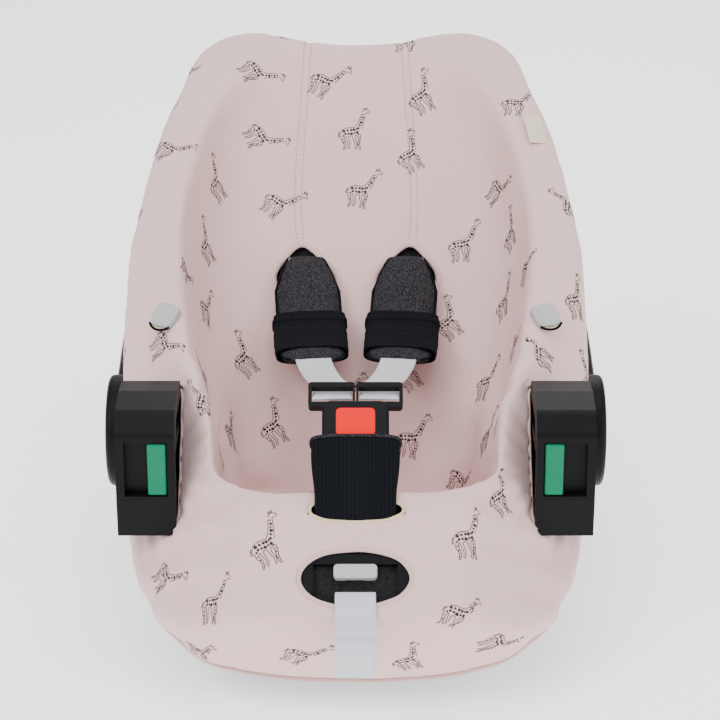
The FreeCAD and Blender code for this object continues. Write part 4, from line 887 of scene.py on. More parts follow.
    def tidy(self, obj: bpy.types.Object) -> None:
        """Drops loose points and turns the faces outwards."""
        bm = bmesh.new()
        bm.from_mesh(obj.data)
        bmesh.ops.delete(bm, geom=[v for v in bm.verts if not v.link_faces], context="VERTS")
        bmesh.ops.recalc_face_normals(bm, faces=bm.faces)
        rim = max(bm.verts, key=lambda v: v.co.z)
        if rim.normal.z < 0:
            bmesh.ops.reverse_faces(bm, faces=bm.faces)
        bm.to_mesh(obj.data)
        bm.free()
        obj.data.update()

    def loops(self, obj: bpy.types.Object) -> list:
        """The cover's free edges, as closed lines of points in millimetres, longest first."""
        bm = bmesh.new()
        bm.from_mesh(obj.data)
        free = {e for e in bm.edges if e.is_boundary}
        found = []
        while free:
            edge = free.pop()
            start, here = edge.verts
            line = [start.co.copy(), here.co.copy()]
            while here != start:
                following = [e for e in here.link_edges if e in free]
                if not following:
                    break
                free.discard(following[0])
                here = following[0].other_vert(here)
                line.append(here.co.copy())
            if len(line) > 12:
                found.append(np.array(line[:-1]) / MM)
        bm.free()
        return sorted(found, key=len, reverse=True)

    def even_loop(self, line: np.ndarray, spacing: float, passes: int) -> np.ndarray:
        """A closed line, smoothed and spread evenly."""
        for _ in range(2):
            closed = np.vstack([line, line[:1]])
            run = np.concatenate([[0.0], np.cumsum(np.linalg.norm(np.diff(closed, axis=0), axis=1))])
            even = np.linspace(0, run[-1], max(int(run[-1] / spacing), 12), endpoint=False)
            line = np.stack([np.interp(even, run, closed[:, k]) for k in range(3)], axis=1)
            for _ in range(passes):
                line = 0.25 * np.roll(line, 1, axis=0) + 0.5 * line + 0.25 * np.roll(line, -1, axis=0)
        return line

    def hem(self, name: str, line: np.ndarray, width: float, thickness: float, finish: Finish,
            slot: str = "cover_jersey") -> bpy.types.Object:
        """A rolled edge along a closed line."""
        section = puffy_section(width, thickness, 2.0, 10)
        verts, faces = swept(line, section, line.mean(axis=0) - line, closed=True)
        obj = recalculated(new_mesh(name, verts, faces))
        return placed(obj, finish, SEAT)

    def stitch_and_hem(self, cover: bpy.types.Object) -> None:
        """Hems on the free edges, and stitches along the bottom hem and the back seams."""
        tree = BVHTree.FromPolygons([v.co for v in cover.data.vertices], [p.vertices for p in cover.data.polygons])
        made = 0
        paths = []
        for loop in self.edges:
            mid = loop.mean(axis=0)
            line = self.even_loop(loop, 3.0, 2)
            if np.ptp(line[:, 0]) > 250:
                self.hem("bottom_hem", self.even_loop(loop, 4.5, 4), 8.0, 5.0, HEM)
                paths.append(line + np.array([0.0, 0.0, 11.0]))
            elif mid[1] < -300:
                self.hem("adjuster_edge", line, 3.6, 3.0, HEM)
                self.hem("adjuster_binding", line + np.array([0.0, 0.9, -1.2]), 3.4, 2.2, KNIT, "black_knit")
            elif abs(mid[0]) < 20:
                self.hem("slit_edge", line, 2.8, 2.6, OVERLOCK)
            elif mid[1] > -100 and mid[2] < 330 and abs(mid[0]) < 110:
                side = "left" if mid[0] < 0 else "right"
                self.hem("opening_edge_" + side, line, 6.0, 4.2, HEM)
                self.hem("opening_binding_" + side, line + np.array([0.0, 0.9, -1.6]), 3.4, 2.4, KNIT, "black_knit")
            elif abs(mid[0]) > 130:
                side = "left" if mid[0] < 0 else "right"
                self.hem("guide_edge_" + side, self.even_loop(loop, 3.0, 5), 3.0, 2.6, HEM)
            else:
                continue
            made += 1
        LOG.info("%d edges hemmed", made)
        for line in self.seam_lines():
            p = np.array(line)
            u = np.linspace(316, 116, 60)
            x = np.interp(u, p[::-1, 1], p[::-1, 0])
            for shift in (-3.4, 3.4):
                raw = seat_points(x + shift, u, np.full_like(u, 20.0))
                paths.append(self.dropped(tree, raw))
        for k, path in enumerate(paths):
            closed = k == 0 and len(path) > 100
            path = np.array([self.nearest(tree, p, 0.35) for p in path])
            curve = curve_object(f"stitch_path_{k}", path, closed=closed)
            piece = stitch(f"stitch_piece_{k}", 2.6, 0.75)
            nodes = along_curve_tree(f"stitch_row_{k}", piece, 0.0042, seed=k)
            row = baked(curve, nodes, f"stitches_{k}", {"Spacing": 0.0042, "Seed": k})
            bpy.data.objects.remove(piece)
            placed(row, THREAD, SEAT)

    def nearest(self, tree: BVHTree, point: np.ndarray, lift: float) -> np.ndarray:
        """The cover's nearest point, lifted off it."""
        where, normal, _, _ = tree.find_nearest(Vector(point) * MM)
        return np.array(where) / MM + np.array(normal) * lift

    def dropped(self, tree: BVHTree, points: np.ndarray) -> np.ndarray:
        """Points moved straight down from the rim plane onto the cover."""
        down = Vector((0.0, SIN, -COS))
        result = []
        for p in points:
            where, _, _, _ = tree.ray_cast(Vector(p) * MM - down * 0.1, down)
            result.append(np.array(where) / MM if where else p)
        return np.array(result)

    def print_motifs(self, cover: bpy.types.Object) -> None:
        """The small print, scattered by nodes and laid onto the cloth."""
        tree = BVHTree.FromPolygons([v.co for v in cover.data.vertices], [p.vertices for p in cover.data.polygons])
        edge = np.vstack(self.edges)
        co = np.array([v.co for v in cover.data.vertices]) / MM
        room = np.full(len(co), 1e9)
        for k in range(0, len(edge), 3):
            room = np.minimum(room, np.linalg.norm(co - edge[k], axis=1))
        allowed = cover.data.attributes.new("printed", "FLOAT", "POINT")
        allowed.data.foreach_set("value", (room > 20).astype(np.float32))
        motif = Motif().build()
        nodes = scatter_tree("print_scatter", motif, self.motif_gap * MM)
        copy = cover.copy()
        copy.data = cover.data.copy()
        bpy.context.collection.objects.link(copy)
        ink = baked(copy, nodes, "cover_print", {"Gap": self.motif_gap * MM, "Seed": 7})
        bpy.data.objects.remove(motif)
        for v in ink.data.vertices:
            where, normal, _, _ = tree.find_nearest(v.co)
            v.co = where + normal * 0.00022
        ink.data.update()
        cover.data.attributes.remove(cover.data.attributes["printed"])
        placed(ink, INK, SEAT)

    def thicken(self, cover: bpy.types.Object) -> None:
        """Gives the cloth its thickness, inwards."""
        mod = cover.modifiers.new("cloth", "SOLIDIFY")
        mod.thickness = 0.0013
        mod.offset = -1.0
        mod.use_rim = True
        bpy.context.view_layer.update()
        done = bpy.data.meshes.new_from_object(cover.evaluated_get(bpy.context.evaluated_depsgraph_get()))
        cover.modifiers.clear()
        cover.data = done

    def build_liner(self, grid: np.ndarray) -> None:
        """The foam liner close under the cover, as far in as its openings show it.

        Args:
            grid: The whole cover before its openings are cut.
        """
        sheet = (grid - grid_normals(grid) * self.liner_room)[self.liner_from::2, ::2]
        rows, cols = sheet.shape[:2]
        verts = np.vstack([sheet.reshape(-1, 3), sheet[-1].mean(axis=0)])
        last = (rows - 1) * cols
        faces = grid_faces(rows, cols, False, True)
        faces += [(last + j, last + (j + 1) % cols, rows * cols) for j in range(cols)]
        wide = np.abs(verts[:, 0]) > self.liner_half
        obj = new_mesh("bead_foam_liner", verts, [f for f in faces if not wide[list(f)].any()])
        self.tidy(obj)
        mod = obj.modifiers.new("wall", "SOLIDIFY")
        mod.thickness = 0.008
        mod.offset = -1.0
        bpy.context.view_layer.update()
        done = bpy.data.meshes.new_from_object(obj.evaluated_get(bpy.context.evaluated_depsgraph_get()))
        obj.modifiers.clear()
        obj.data = done
        placed(obj, FOAM, SEAT, ("foam_liner",))


def scatter_tree(name: str, piece: bpy.types.Object, gap: float) -> bpy.types.NodeTree:
    """A tree that scatters upright copies of a flat piece over a surface."""
    tree = bpy.data.node_groups.new(name, "GeometryNodeTree")
    face = tree.interface
    face.new_socket("Geometry", in_out="INPUT", socket_type="NodeSocketGeometry")
    face.new_socket("Gap", in_out="INPUT", socket_type="NodeSocketFloat").default_value = gap
    face.new_socket("Seed", in_out="INPUT", socket_type="NodeSocketInt").default_value = 7
    face.new_socket("Geometry", in_out="OUTPUT", socket_type="NodeSocketGeometry")
    n, link = tree.nodes, tree.links.new
    group_in, group_out = n.new("NodeGroupInput"), n.new("NodeGroupOutput")
    spread = n.new("GeometryNodeDistributePointsOnFaces")
    spread.distribute_method = "POISSON"
    allowed = n.new("GeometryNodeInputNamedAttribute")
    allowed.data_type = "FLOAT"
    allowed.inputs["Name"].default_value = "printed"
    link(group_in.outputs["Geometry"], spread.inputs["Mesh"])
    link(group_in.outputs["Gap"], spread.inputs["Distance Min"])
    link(group_in.outputs["Seed"], spread.inputs["Seed"])
    spread.inputs["Density Max"].default_value = 2500.0
    link(allowed.outputs["Attribute"], spread.inputs["Density Factor"])
    face_out = n.new("FunctionNodeAlignRotationToVector")
    face_out.axis = "Z"
    link(spread.outputs["Normal"], face_out.inputs["Vector"])
    upright = n.new("FunctionNodeAlignRotationToVector")
    upright.axis = "Y"
    upright.pivot_axis = "Z"
    upright.inputs["Vector"].default_value = (0.0, 0.45, 0.9)
    link(face_out.outputs["Rotation"], upright.inputs["Rotation"])
    lean = n.new("FunctionNodeRandomValue")
    lean.data_type = "FLOAT"
    lean.inputs[2].default_value = -1.25
    lean.inputs[3].default_value = 1.25
    link(group_in.outputs["Seed"], lean.inputs["Seed"])
    turn = n.new("ShaderNodeCombineXYZ")
    link(lean.outputs[1], turn.inputs["Z"])
    rotate = n.new("FunctionNodeRotateRotation")
    rotate.rotation_space = "LOCAL"
    as_turn = n.new("FunctionNodeEulerToRotation")
    link(turn.outputs["Vector"], as_turn.inputs["Euler"])
    link(upright.outputs["Rotation"], rotate.inputs["Rotation"])
    link(as_turn.outputs["Rotation"], rotate.inputs["Rotate By"])
    info = n.new("GeometryNodeObjectInfo")
    info.inputs["Object"].default_value = piece
    inst = n.new("GeometryNodeInstanceOnPoints")
    link(spread.outputs["Points"], inst.inputs["Points"])
    link(info.outputs["Geometry"], inst.inputs["Instance"])
    link(rotate.outputs["Rotation"], inst.inputs["Rotation"])
    real = n.new("GeometryNodeRealizeInstances")
    link(inst.outputs["Instances"], real.inputs["Geometry"])
    dress = n.new("GeometryNodeSetMaterial")
    dress.inputs["Material"].default_value = INK.material()
    link(real.outputs["Geometry"], dress.inputs["Geometry"])
    link(dress.outputs["Geometry"], group_out.inputs["Geometry"])
    return tree


@dataclass
class Motif:
    """A small spotted animal with a long neck, drawn as flat strokes."""

    scale: float = 0.86
    line: float = 0.7
    spot: float = 1.75
    strokes: tuple = (
        (((-10, 1), (-5, 2.2), (1, 2.4), (7, 4)), (7.5, 10, 10, 8.5), True),
        (((6, 4), (9.5, 11), (12, 18), (14.2, 25)), (8.5, 5.8, 4.6, 3.8), True),
        (((13.6, 25), (16.5, 26.6), (20.5, 25.8)), (3.8, 4.4, 2.4), False),
        (((6.5, 1.5), (8, -6), (7, -12), (8, -19)), (4.4, 2.8, 2.0, 1.8), True),
        (((2.5, -0.5), (2.2, -7), (4, -12), (3.2, -18)), (3.8, 2.6, 2.0, 1.7), False),
        (((-9, 0), (-10.5, -7), (-8.5, -12), (-9.5, -19)), (5.0, 3.0, 2.0, 1.8), True),
        (((-5.5, -1), (-5, -7), (-3.6, -12), (-4.6, -17.5)), (3.8, 2.6, 2.0, 1.7), False),
        (((-10.5, 3), (-13.5, 2), (-14.5, -3)), (1.0, 0.9, 1.6), False),
        (((15.2, 27), (15.0, 29), (14.8, 30.6)), (0.8, 0.8, 1.4), False),
        (((16.9, 27.6), (17.3, 29.4), (17.6, 30.8)), (0.8, 0.8, 1.4), False),
    )

    def sampled(self, points: tuple, widths: tuple) -> tuple:
        """A stroke's middle line, its half widths and its side directions."""
        p = np.array([(*q, 0.0) for q in points], float)
        line = smooth_line(p, 26)[:, :2]
        half = np.interp(np.linspace(0, 1, 26), np.linspace(0, 1, len(widths)), widths) / 2
        along = np.gradient(line, axis=0)
        along /= np.linalg.norm(along, axis=1, keepdims=True)
        return line, half, np.stack([-along[:, 1], along[:, 0]], axis=1), along

    def build(self) -> bpy.types.Object:
        """The motif as a flat mesh in the XY plane."""
        verts, faces = [], []
        shapes = [(*self.sampled(points, widths), spotted) for points, widths, spotted in self.strokes]
        for k, (line, half, side, along, spotted) in enumerate(shapes):
            outline = np.vstack([
                line + side * half[:, None], line[-1:] + along[-1:] * half[-1],
                (line - side * half[:, None])[::-1], line[:1] - along[:1] * half[0]])
            shown = [self.free(p, shapes, k) for p in outline]
            self.ribbon(outline, shown, verts, faces)
            if spotted:
                self.spots(line, half, side, along, verts, faces)
        flat = np.array([(x * self.scale, y * self.scale, 0.0) for x, y in verts])
        obj = new_mesh("motif", flat, faces)
        obj.hide_render = True
        return obj

    def free(self, point: np.ndarray, shapes: list, own: int) -> bool:
        """Whether an outline point lies outside the other strokes."""
        for k, (line, half, _, _, _) in enumerate(shapes):
            if k != own and np.any(np.linalg.norm(line - point, axis=1) < half * 0.96):
                return False
        return True

    def ribbon(self, outline: np.ndarray, shown: list, verts: list, faces: list) -> None:
        """A thin drawn line along the shown part of an outline."""
        n = len(outline)
        ahead = np.roll(outline, -1, axis=0) - np.roll(outline, 1, axis=0)
        ahead /= np.maximum(np.linalg.norm(ahead, axis=1, keepdims=True), 1e-6)
        side = np.stack([-ahead[:, 1], ahead[:, 0]], axis=1) * self.line / 2
        first = len(verts)
        for p, s in zip(outline, side):
            verts.extend([p + s, p - s])
        for i in range(n):
            j = (i + 1) % n
            if shown[i] and shown[j]:
                a, b = first + 2 * i, first + 2 * j
                faces.append((a, a + 1, b + 1, b))

    def spots(self, line: np.ndarray, half: np.ndarray, side: np.ndarray, along: np.ndarray, verts: list,
              faces: list) -> None:
        """Uneven spots in rows inside a stroke."""
        run = np.concatenate([[0.0], np.cumsum(np.linalg.norm(np.diff(line, axis=0), axis=1))])
        count = max(int(run[-1] / (2.2 * self.spot * 0.86)), 2)
        for i in range(count):
            at = (i + 0.5) / count * run[-1]
            k = int(np.searchsorted(run, at))
            k = min(k, len(line) - 1)
            across = max(int(2 * half[k] / (2.3 * self.spot)), 1)
            for j in range(across):
                v = ((j + 0.5) / across - 0.5) * 2 * half[k] * 0.84
                mid = line[k] + side[k] * (v + 0.3 * math.sin(9.1 * i + j)) + along[k] * 0.5 * math.sin(5.3 * j + i)
                size = min(self.spot, half[k] * 0.62) * (0.86 + 0.2 * math.sin(3.7 * i + 2.1 * j))
                first = len(verts)
                for m in range(7):
                    a = 2 * math.pi * m / 7
                    r = size * (1 + 0.2 * math.sin(2.9 * m + i + 2 * j))
                    verts.append(mid + np.array([r * math.cos(a), r * math.sin(a)]))
                faces.append(tuple(range(first, first + 7)))


# ---- harness ------------------------------------------------------------------------
BUCKLE_MID = np.array([0.0, -222.0, 221.0])
BUCKLE_UP = np.array([0.0, math.cos(math.radians(40.0)), math.sin(math.radians(40.0))])
BUCKLE_FACE = np.array([0.0, -math.sin(math.radians(40.0)), math.cos(math.radians(40.0))])
ADJUSTER_MID = np.array([0.0, -324.3, 137.0])
ADJUSTER_OUT = np.array([0.0, -0.6943, 0.7197])
ADJUSTER_UP = np.array([0.0, 0.7197, 0.6943])
ACROSS = (1.0, 0.0, 0.0)


def on_backrest(x: float, u: float, lift: float) -> np.ndarray:
    """A point lifted off the backrest's middle line."""
    def depth(at: float) -> float:
        """The backrest's depth at a place along the rim plane."""
        for low, high in zip(BASIN_LEVELS, BASIN_LEVELS[1:]):
            if high[3] <= at <= low[3]:
                return low[0] + (low[3] - at) / (low[3] - high[3]) * (high[0] - low[0])
        return BASIN_LEVELS[-1][0]

    slope = math.atan2(depth(u - 5) - depth(u + 5), 10.0)
    return seat_points(x, u - lift * math.sin(slope), depth(u) - lift * math.cos(slope))


def buckle_point(x: float, n: float, h: float) -> np.ndarray:
    """A point of the buckle's frame: n towards its face, h towards the shoulders."""
    return BUCKLE_MID + np.array([x, 0, 0]) + BUCKLE_FACE * n + BUCKLE_UP * h


def adjuster_point(n: float, h: float) -> np.ndarray:
    """A point of the adjuster's frame: n out of the apron, h up along it."""
    return ADJUSTER_MID + ADJUSTER_OUT * n + ADJUSTER_UP * h


def tapered(line: np.ndarray, widths: np.ndarray, thick: np.ndarray, power: float = 2.6,
            count: int = 28) -> tuple:
    """A padded strip of changing width and thickness along a line."""
    section = puffy_section(2.0, 2.0, power, count)
    return swept(line, section, ACROSS, scale=np.stack([widths / 2, thick / 2], axis=1))


def inflated(obj: bpy.types.Object, voxel: float = 4.0, cap: float = 5.0, pressure: float = 4.0) -> bpy.types.Object:
    """Swells a padded piece with a short cloth simulation.

    Args:
        obj: the piece, a closed mesh.
        voxel: size of the remesh, in millimetres.
        cap: how far a point may move, in millimetres.
        pressure: the air pressure inside.

    Returns:
        The same object with its swollen mesh.
    """
    remesh = obj.modifiers.new("remesh", "REMESH")
    remesh.mode = "VOXEL"
    remesh.voxel_size = voxel * MM
    bpy.context.view_layer.update()
    mesh = bpy.data.meshes.new_from_object(obj.evaluated_get(bpy.context.evaluated_depsgraph_get()))
    obj.modifiers.clear()
    obj.data = mesh
    start = np.array([v.co for v in mesh.vertices])
    cloth = obj.modifiers.new("cloth", "CLOTH")
    cloth.settings.use_pressure = True
    cloth.settings.uniform_pressure_force = pressure
    cloth.settings.effector_weights.gravity = 0.0
    cloth.settings.quality = 6
    scene = bpy.context.scene
    for step in range(1, 21):
        scene.frame_set(step)
    done = bpy.data.meshes.new_from_object(obj.evaluated_get(bpy.context.evaluated_depsgraph_get()))
    obj.modifiers.clear()
    obj.data = done
    moved = np.array([v.co for v in done.vertices]) - start
    far = np.linalg.norm(moved, axis=1, keepdims=True)
    kept = start + moved * np.minimum(1.0, cap * MM / np.maximum(far, 1e-9))
    done.vertices.foreach_set("co", kept.astype(np.float32).ravel())
    smoother = obj.modifiers.new("even", "SUBSURF")
    smoother.levels = smoother.render_levels = 1
    bpy.context.view_layer.update()
    obj_mesh = bpy.data.meshes.new_from_object(obj.evaluated_get(bpy.context.evaluated_depsgraph_get()))
    obj.modifiers.clear()
    obj.data = obj_mesh
    obj.data.polygons.foreach_set("use_smooth", [True] * len(obj.data.polygons))
    scene.frame_set(1)
    return obj


@dataclass
class ShoulderHarness:
    """Shoulder straps with their pads and knitted bands."""

    shoulder_x: float = 47.0
    slot_u: float = 96.0
    yoke_u: float = 48.0
    yoke_lift: float = -50.0
    strap: float = 32.0
    strap_t: float = 1.8
    pad_len: float = 142.0
    pad_w: float = 62.0
    pad_t: float = 14.0

    def path(self, side: int) -> np.ndarray:
        """A shoulder strap's middle line, from the yoke to the tongue."""
        x = self.shoulder_x
        points = [
            on_backrest(x - 8, self.yoke_u + 9, self.yoke_lift + 4.6), on_backrest(x - 3, self.slot_u - 16, -43),
            on_backrest(x, self.slot_u - 1, -32), on_backrest(x, self.slot_u, -10),
            on_backrest(x, self.slot_u - 3, 7), on_backrest(x - 1, self.slot_u - 22, 15),
            on_backrest(x - 4, self.slot_u - 62, 19), (x - 9, -8, 195), (x - 16, -56, 200),
            (x - 23, -120, 219.5), (x - 27.5, -168, 234.4), buckle_point(x - 28, 0.0, 27.0),
        ]
        return smooth_line(points, 181) * np.array([side, 1, 1])

    def build(self) -> None:
        """Builds both sides."""
        for name, side in SIDES:
            line = self.path(side)
            verts, faces = swept(line[3:], flat_section(self.strap, self.strap_t), ACROSS)
            strap = recalculated(new_mesh("shoulder_strap_web_" + name, verts, faces))
            placed(strap, WEBBING, SEAT, ("shoulder_strap_" + name,))
            lift = on_backrest(self.shoulder_x, self.slot_u - 3, 7) * np.array([side, 1, 1])
            start = int(np.argmin(np.linalg.norm(line - lift, axis=1)))
            run = np.concatenate([[0.0], np.cumsum(np.linalg.norm(np.diff(line[start:], axis=0), axis=1))])
            span = line[start:][run <= self.pad_len]
            self.pad(name, span)
            self.cuff(name, span)

    def pad(self, name: str, span: np.ndarray) -> None:
        """A pad around the strap, pointed where it goes up into the opening."""
        t = np.linspace(0, 1, len(span))
        widths = np.interp(t, [0, 0.08, 0.3, 0.9, 0.97, 1], [30, 40, self.pad_w - 2, self.pad_w - 2, 54, 40])
        thick = np.interp(t, [0, 0.2, 0.9, 0.97, 1], [7, self.pad_t - 2, self.pad_t - 2, 10, 6])
        verts, faces = tapered(span, widths, thick, 3.0)
        pad = inflated(recalculated(new_mesh("shoulder_padding_" + name, verts, faces)), 3.6, 2.5, 3.0)
        placed(pad, MELANGE, SEAT, ("shoulder_pad_" + name,))
        rows = np.linspace(0, len(span) - 1, 60).astype(int)
        for k, share in enumerate((-0.97, 0.97)):
            edge = span[rows] + np.outer(widths[rows] / 2 * share, np.array(ACROSS))
            verts, faces = swept(edge, puffy_section(2.6, 2.6, 2.0, 8), ACROSS)
            piping = recalculated(new_mesh(f"pad_piping_{name}_{k}", verts, faces))
            placed(piping, KNIT, SEAT)

    def cuff(self, name: str, span: np.ndarray) -> None:
        """The black knitted band around the lower half of a pad."""
        n = len(span)
        low = span[int(0.5 * n):int(0.93 * n)]
        m = len(low)
        t = np.linspace(0, 1, m)
        bulge = 1.2 * np.sin(math.pi * t) + 0.5 * np.sin(t * 31)
        outer_w, outer_t = self.pad_w + 3.5 + bulge, self.pad_t + 4.0 + bulge * 0.8
        section = puffy_section(2.0, 2.0, 3.2, 64)
        outer, _ = swept(low, section, ACROSS, scale=np.stack([outer_w / 2, outer_t / 2], axis=1))
        inner, _ = swept(low, section, ACROSS, scale=np.stack([outer_w / 2 - 1.4, outer_t / 2 - 1.4], axis=1))
        verts = np.vstack([outer, inner.reshape(m, 64, 3)[::-1].reshape(-1, 3)])
        faces = grid_faces(2 * m, 64, True, True)
        band = recalculated(new_mesh("knitted_band_" + name, verts, faces))
        placed(band, KNIT, SEAT, ("pad_band_" + name,))
        fold = low[int(0.16 * m)]
        along = low[int(0.16 * m) + 1] - fold
        line = np.array([fold + along * k for k in (-1.2, -0.4, 0.4, 1.2)])
        verts, faces = tapered(line, np.full(4, self.pad_w + 6.6), np.full(4, self.pad_t + 6.6), 3.2, 64)
        hem = recalculated(new_mesh("band_hem_" + name, verts, faces))
        placed(hem, KNIT, SEAT)


@dataclass
class CrotchPad:
    """The ribbed crotch sleeve, its lining edge and the strap in it."""

    width: float = 74.0
    top: float = -13.2
    slit_y: float = -279.0
    end_z: float = 152.0
    ribs: int = 30
    rib_height: float = 0.55

    def path(self) -> list:
        """The sleeve's middle line from the buckle down into the front ridge."""
        return [
            buckle_point(0, 0, self.top), buckle_point(0, 0, self.top - 10), buckle_point(0, 0, self.top - 22),
            buckle_point(0, 1.0, -46), buckle_point(0, 3.0, -56), (0, self.slit_y, 174), (0, self.slit_y, 165),
            (0, self.slit_y, self.end_z)]

    def build(self) -> None:
        """Builds the sleeve and the strap."""
        line = smooth_line(self.path(), 64)
        n, count = len(line), 4 * self.ribs * 2
        t = np.linspace(0, 1, n)
        thick = 31.0 - 9 * np.array([smooth((s - 0.25) / 0.3) for s in t])
        wide = self.width * (0.93 + 0.05 * np.cos(t * 3.0)) + 1.2 * np.sin(t * 9.0)
        angle = 2 * math.pi * np.arange(count) / count
        c, s = np.cos(angle), np.sin(angle)
        section = np.stack([np.sign(c) * np.abs(c) ** 0.55, np.sign(s) * np.abs(s) ** 0.55], axis=1)
        rib = self.rib_height * 0.5 * (1 + np.cos(section[:, 0] * math.pi * self.ribs))
        outer = self.rings(line, section, wide / 2 - 1, thick / 2 - 1, rib)
        inner = self.rings(line, section, wide / 2 - 2.6, thick / 2 - 2.6, rib * 0)
        deep = 16
        verts = np.vstack([inner[:deep][::-1].reshape(-1, 3), outer.reshape(-1, 3)])
        rows = deep + n
        faces = grid_faces(rows, count, False, True)
        faces.append(tuple(range(count)))
        faces.append(tuple(reversed(range((rows - 1) * count, rows * count))))
        sleeve = recalculated(new_mesh("crotch_sleeve", verts, faces))
        placed(sleeve, KNIT, SEAT, ("crotch_pad",))
        edge_line = np.array([line[0] + (line[1] - line[0]) * k for k in (-0.6, 0.2, 1.0)])
        ring = self.rings(edge_line, section[::4], np.full(3, wide[0] / 2 - 0.2), np.full(3, thick[0] / 2 - 0.2),
                          np.zeros(count // 4))[1]
        verts, faces = swept(ring, puffy_section(2.4, 2.8, 2.0, 8), line[0] - ring, closed=True)
        binding = recalculated(new_mesh("crotch_sleeve_edge", verts, faces))
        placed(binding, MELANGE, SEAT)
        strap_line = smooth_line(self.path()[:-1] + [(0, self.slit_y, 115.0), (0, -232.0, 57.0)], 60)
        verts, faces = swept(strap_line[2:], flat_section(32.0, 1.8), ACROSS)
        strap = recalculated(new_mesh("crotch_web", verts, faces))
        placed(strap, WEBBING, SEAT, ("crotch_strap",))

    def rings(self, line: np.ndarray, section: np.ndarray, half_w: np.ndarray, half_t: np.ndarray,
              rib: np.ndarray) -> np.ndarray:
        """Rings of the sleeve, one per point of the line, with ribs standing off its faces."""
        verts, _ = swept(line, section, ACROSS, scale=np.stack([half_w, half_t], axis=1))
        grid = verts.reshape(len(line), len(section), 3)
        up = grid - line[:, None, :]
        up[..., 0] = 0
        up /= np.maximum(np.linalg.norm(up, axis=-1, keepdims=True), 1e-6)
        return grid + up * rib[None, :, None]


@dataclass
class FrontAdjuster:
    """The adjuster strap and its free tail."""

    strap: float = 32.0

    def build(self) -> None:
        """Builds the strap from the yoke to the end of its tail."""
        end = adjuster_point(4.5, -50)
        h = -10.4
        points = [
            on_backrest(0, 38, -47.4), on_backrest(0, 8, -48), on_backrest(0, -30, -52), on_backrest(0, -90, -52),
            (0, -50, 33), (0, -110, 27), (0, -210, 27), (0, -262, 36), adjuster_point(-68, h - 16),
            adjuster_point(-44, h - 4), adjuster_point(-26, h), adjuster_point(-14, h), adjuster_point(-6, h),
            adjuster_point(0.6, h - 1.0), adjuster_point(3.0, h - 5), adjuster_point(3.8, -26),
            adjuster_point(4.0, -42), end, end + (0, -4, -8), end + (0, -5, -18), end + (0, -5, -30)]
        line = smooth_line(points, 260)
        verts, faces = swept(line, flat_section(self.strap, 1.8), ACROSS)
        strap = recalculated(new_mesh("adjuster_web", verts, faces))
        placed(strap, WEBBING, SEAT, ("adjuster_strap",))
        tip = line[-14:]
        ends = recalculated(new_mesh("tail_fold", *swept(tip, flat_section(self.strap + 0.6, 4.2), ACROSS)))
        placed(ends, WEBBING, SEAT)


@dataclass
class Trim:
    """Small sewn pieces: the blank tag and the loops that hold the cover to the pegs."""

    tag_width: float = 17.0
    tag_length: float = 38.0
    tag_x: float = 168.0
    tag_u: float = 148.0
    cap_side: float = 23.0
    cap_height: float = 6.0

    def build(self) -> None:
        """Builds the tag and the loops."""
        cloth = bpy.data.objects["cover"].data
        tree = BVHTree.FromPolygons([v.co for v in cloth.vertices], [p.vertices for p in cloth.polygons])
        down = Vector((0.0, SIN, -COS))
        line = []
        for step in np.linspace(0.0, 1.0, 24):
            over = seat_points(self.tag_x - 5.0 * step, self.tag_u + self.tag_length * step, -40.0)
            where, _, _, _ = tree.ray_cast(Vector(over) * MM, down)
            lift = 1.6 + 2.0 * step
            line.append(np.array(where) / MM + np.array([0.0, -SIN, COS]) * lift)
        verts, faces = swept(np.array(line), flat_section(self.tag_width, 0.9), np.array([0.93, -0.15, -0.32]))
        tag = recalculated(new_mesh("blank_tag", verts, faces))
        placed(tag, LABEL, SEAT, ("cover_label",))
        for name, side in SIDES:
            low, high = (np.array(c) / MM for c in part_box("canopy_peg_" + name))
            beside = (low + high) / 2 + np.array([-side * 11.0, -3.0, 4.0])
            way = Vector((side * 0.43, -0.54, 0.73)).normalized()
            where, normal, _, _ = tree.ray_cast(Vector(beside) * MM + way * 0.04, -way)
            out = np.array(normal)
            mid = np.array(where) / MM + out * 2.6
            top = np.array([0, 0, 1.0]) - out * out[2]
            top /= np.linalg.norm(top)
            self.cap(name, mid, out, top)
            for k, (finish, reach) in enumerate(((KNIT, 13.5), (OVERLOCK, 11.8))):
                turn = np.linspace(-2.4, -0.74, 30)
                right = np.cross(top, out)
                loop = np.array([
                    mid + out * (0.9 - 1.2 * k) + right * reach * math.cos(a) * 1.05 + top * reach * math.sin(a) * 1.1
                    for a in turn])
                verts, faces = swept(loop, puffy_section(2.2, 2.2, 2.0, 10), out)
                cord = recalculated(new_mesh(f"peg_loop_{name}_{k}", verts, faces))
                placed(cord, finish, SEAT)


    def cap(self, name: str, mid: np.ndarray, out: np.ndarray, top: np.ndarray) -> None:
        """A canopy peg's rounded square cap, with a shallow field in its face.

        Args:
            name: the side.
            mid: the middle of the cap.
            out: the way its face looks.
            top: the way up along its face.
        """
        angle = 2 * math.pi * np.arange(64) / 64
        c, s = np.cos(angle), np.sin(angle)
        square = np.stack([np.sign(c) * np.abs(c) ** 0.5, np.sign(s) * np.abs(s) ** 0.5], axis=1)
        half = self.cap_side / 2
        levels = ((0.90, -4.0), (1.0, -3.0), (1.0, 1.2), (0.97, 2.2), (0.90, 2.9), (0.78, 3.0), (0.74, 2.6), (0.3, 2.7))
        right = np.cross(top, out)
        rings = [mid + out * n * self.cap_height / 6 + half * share * (square[:, :1] * right + square[:, 1:] * top)
                 for share, n in levels]
        faces = grid_faces(len(rings), 64, False, True)
        faces.append(tuple(range(64)))
        faces.append(tuple(reversed(range((len(rings) - 1) * 64, len(rings) * 64))))
        piece = recalculated(new_mesh("canopy_cap_" + name, np.vstack(rings), faces))
        placed(piece, GREY, SEAT, ("canopy_peg_" + name,))


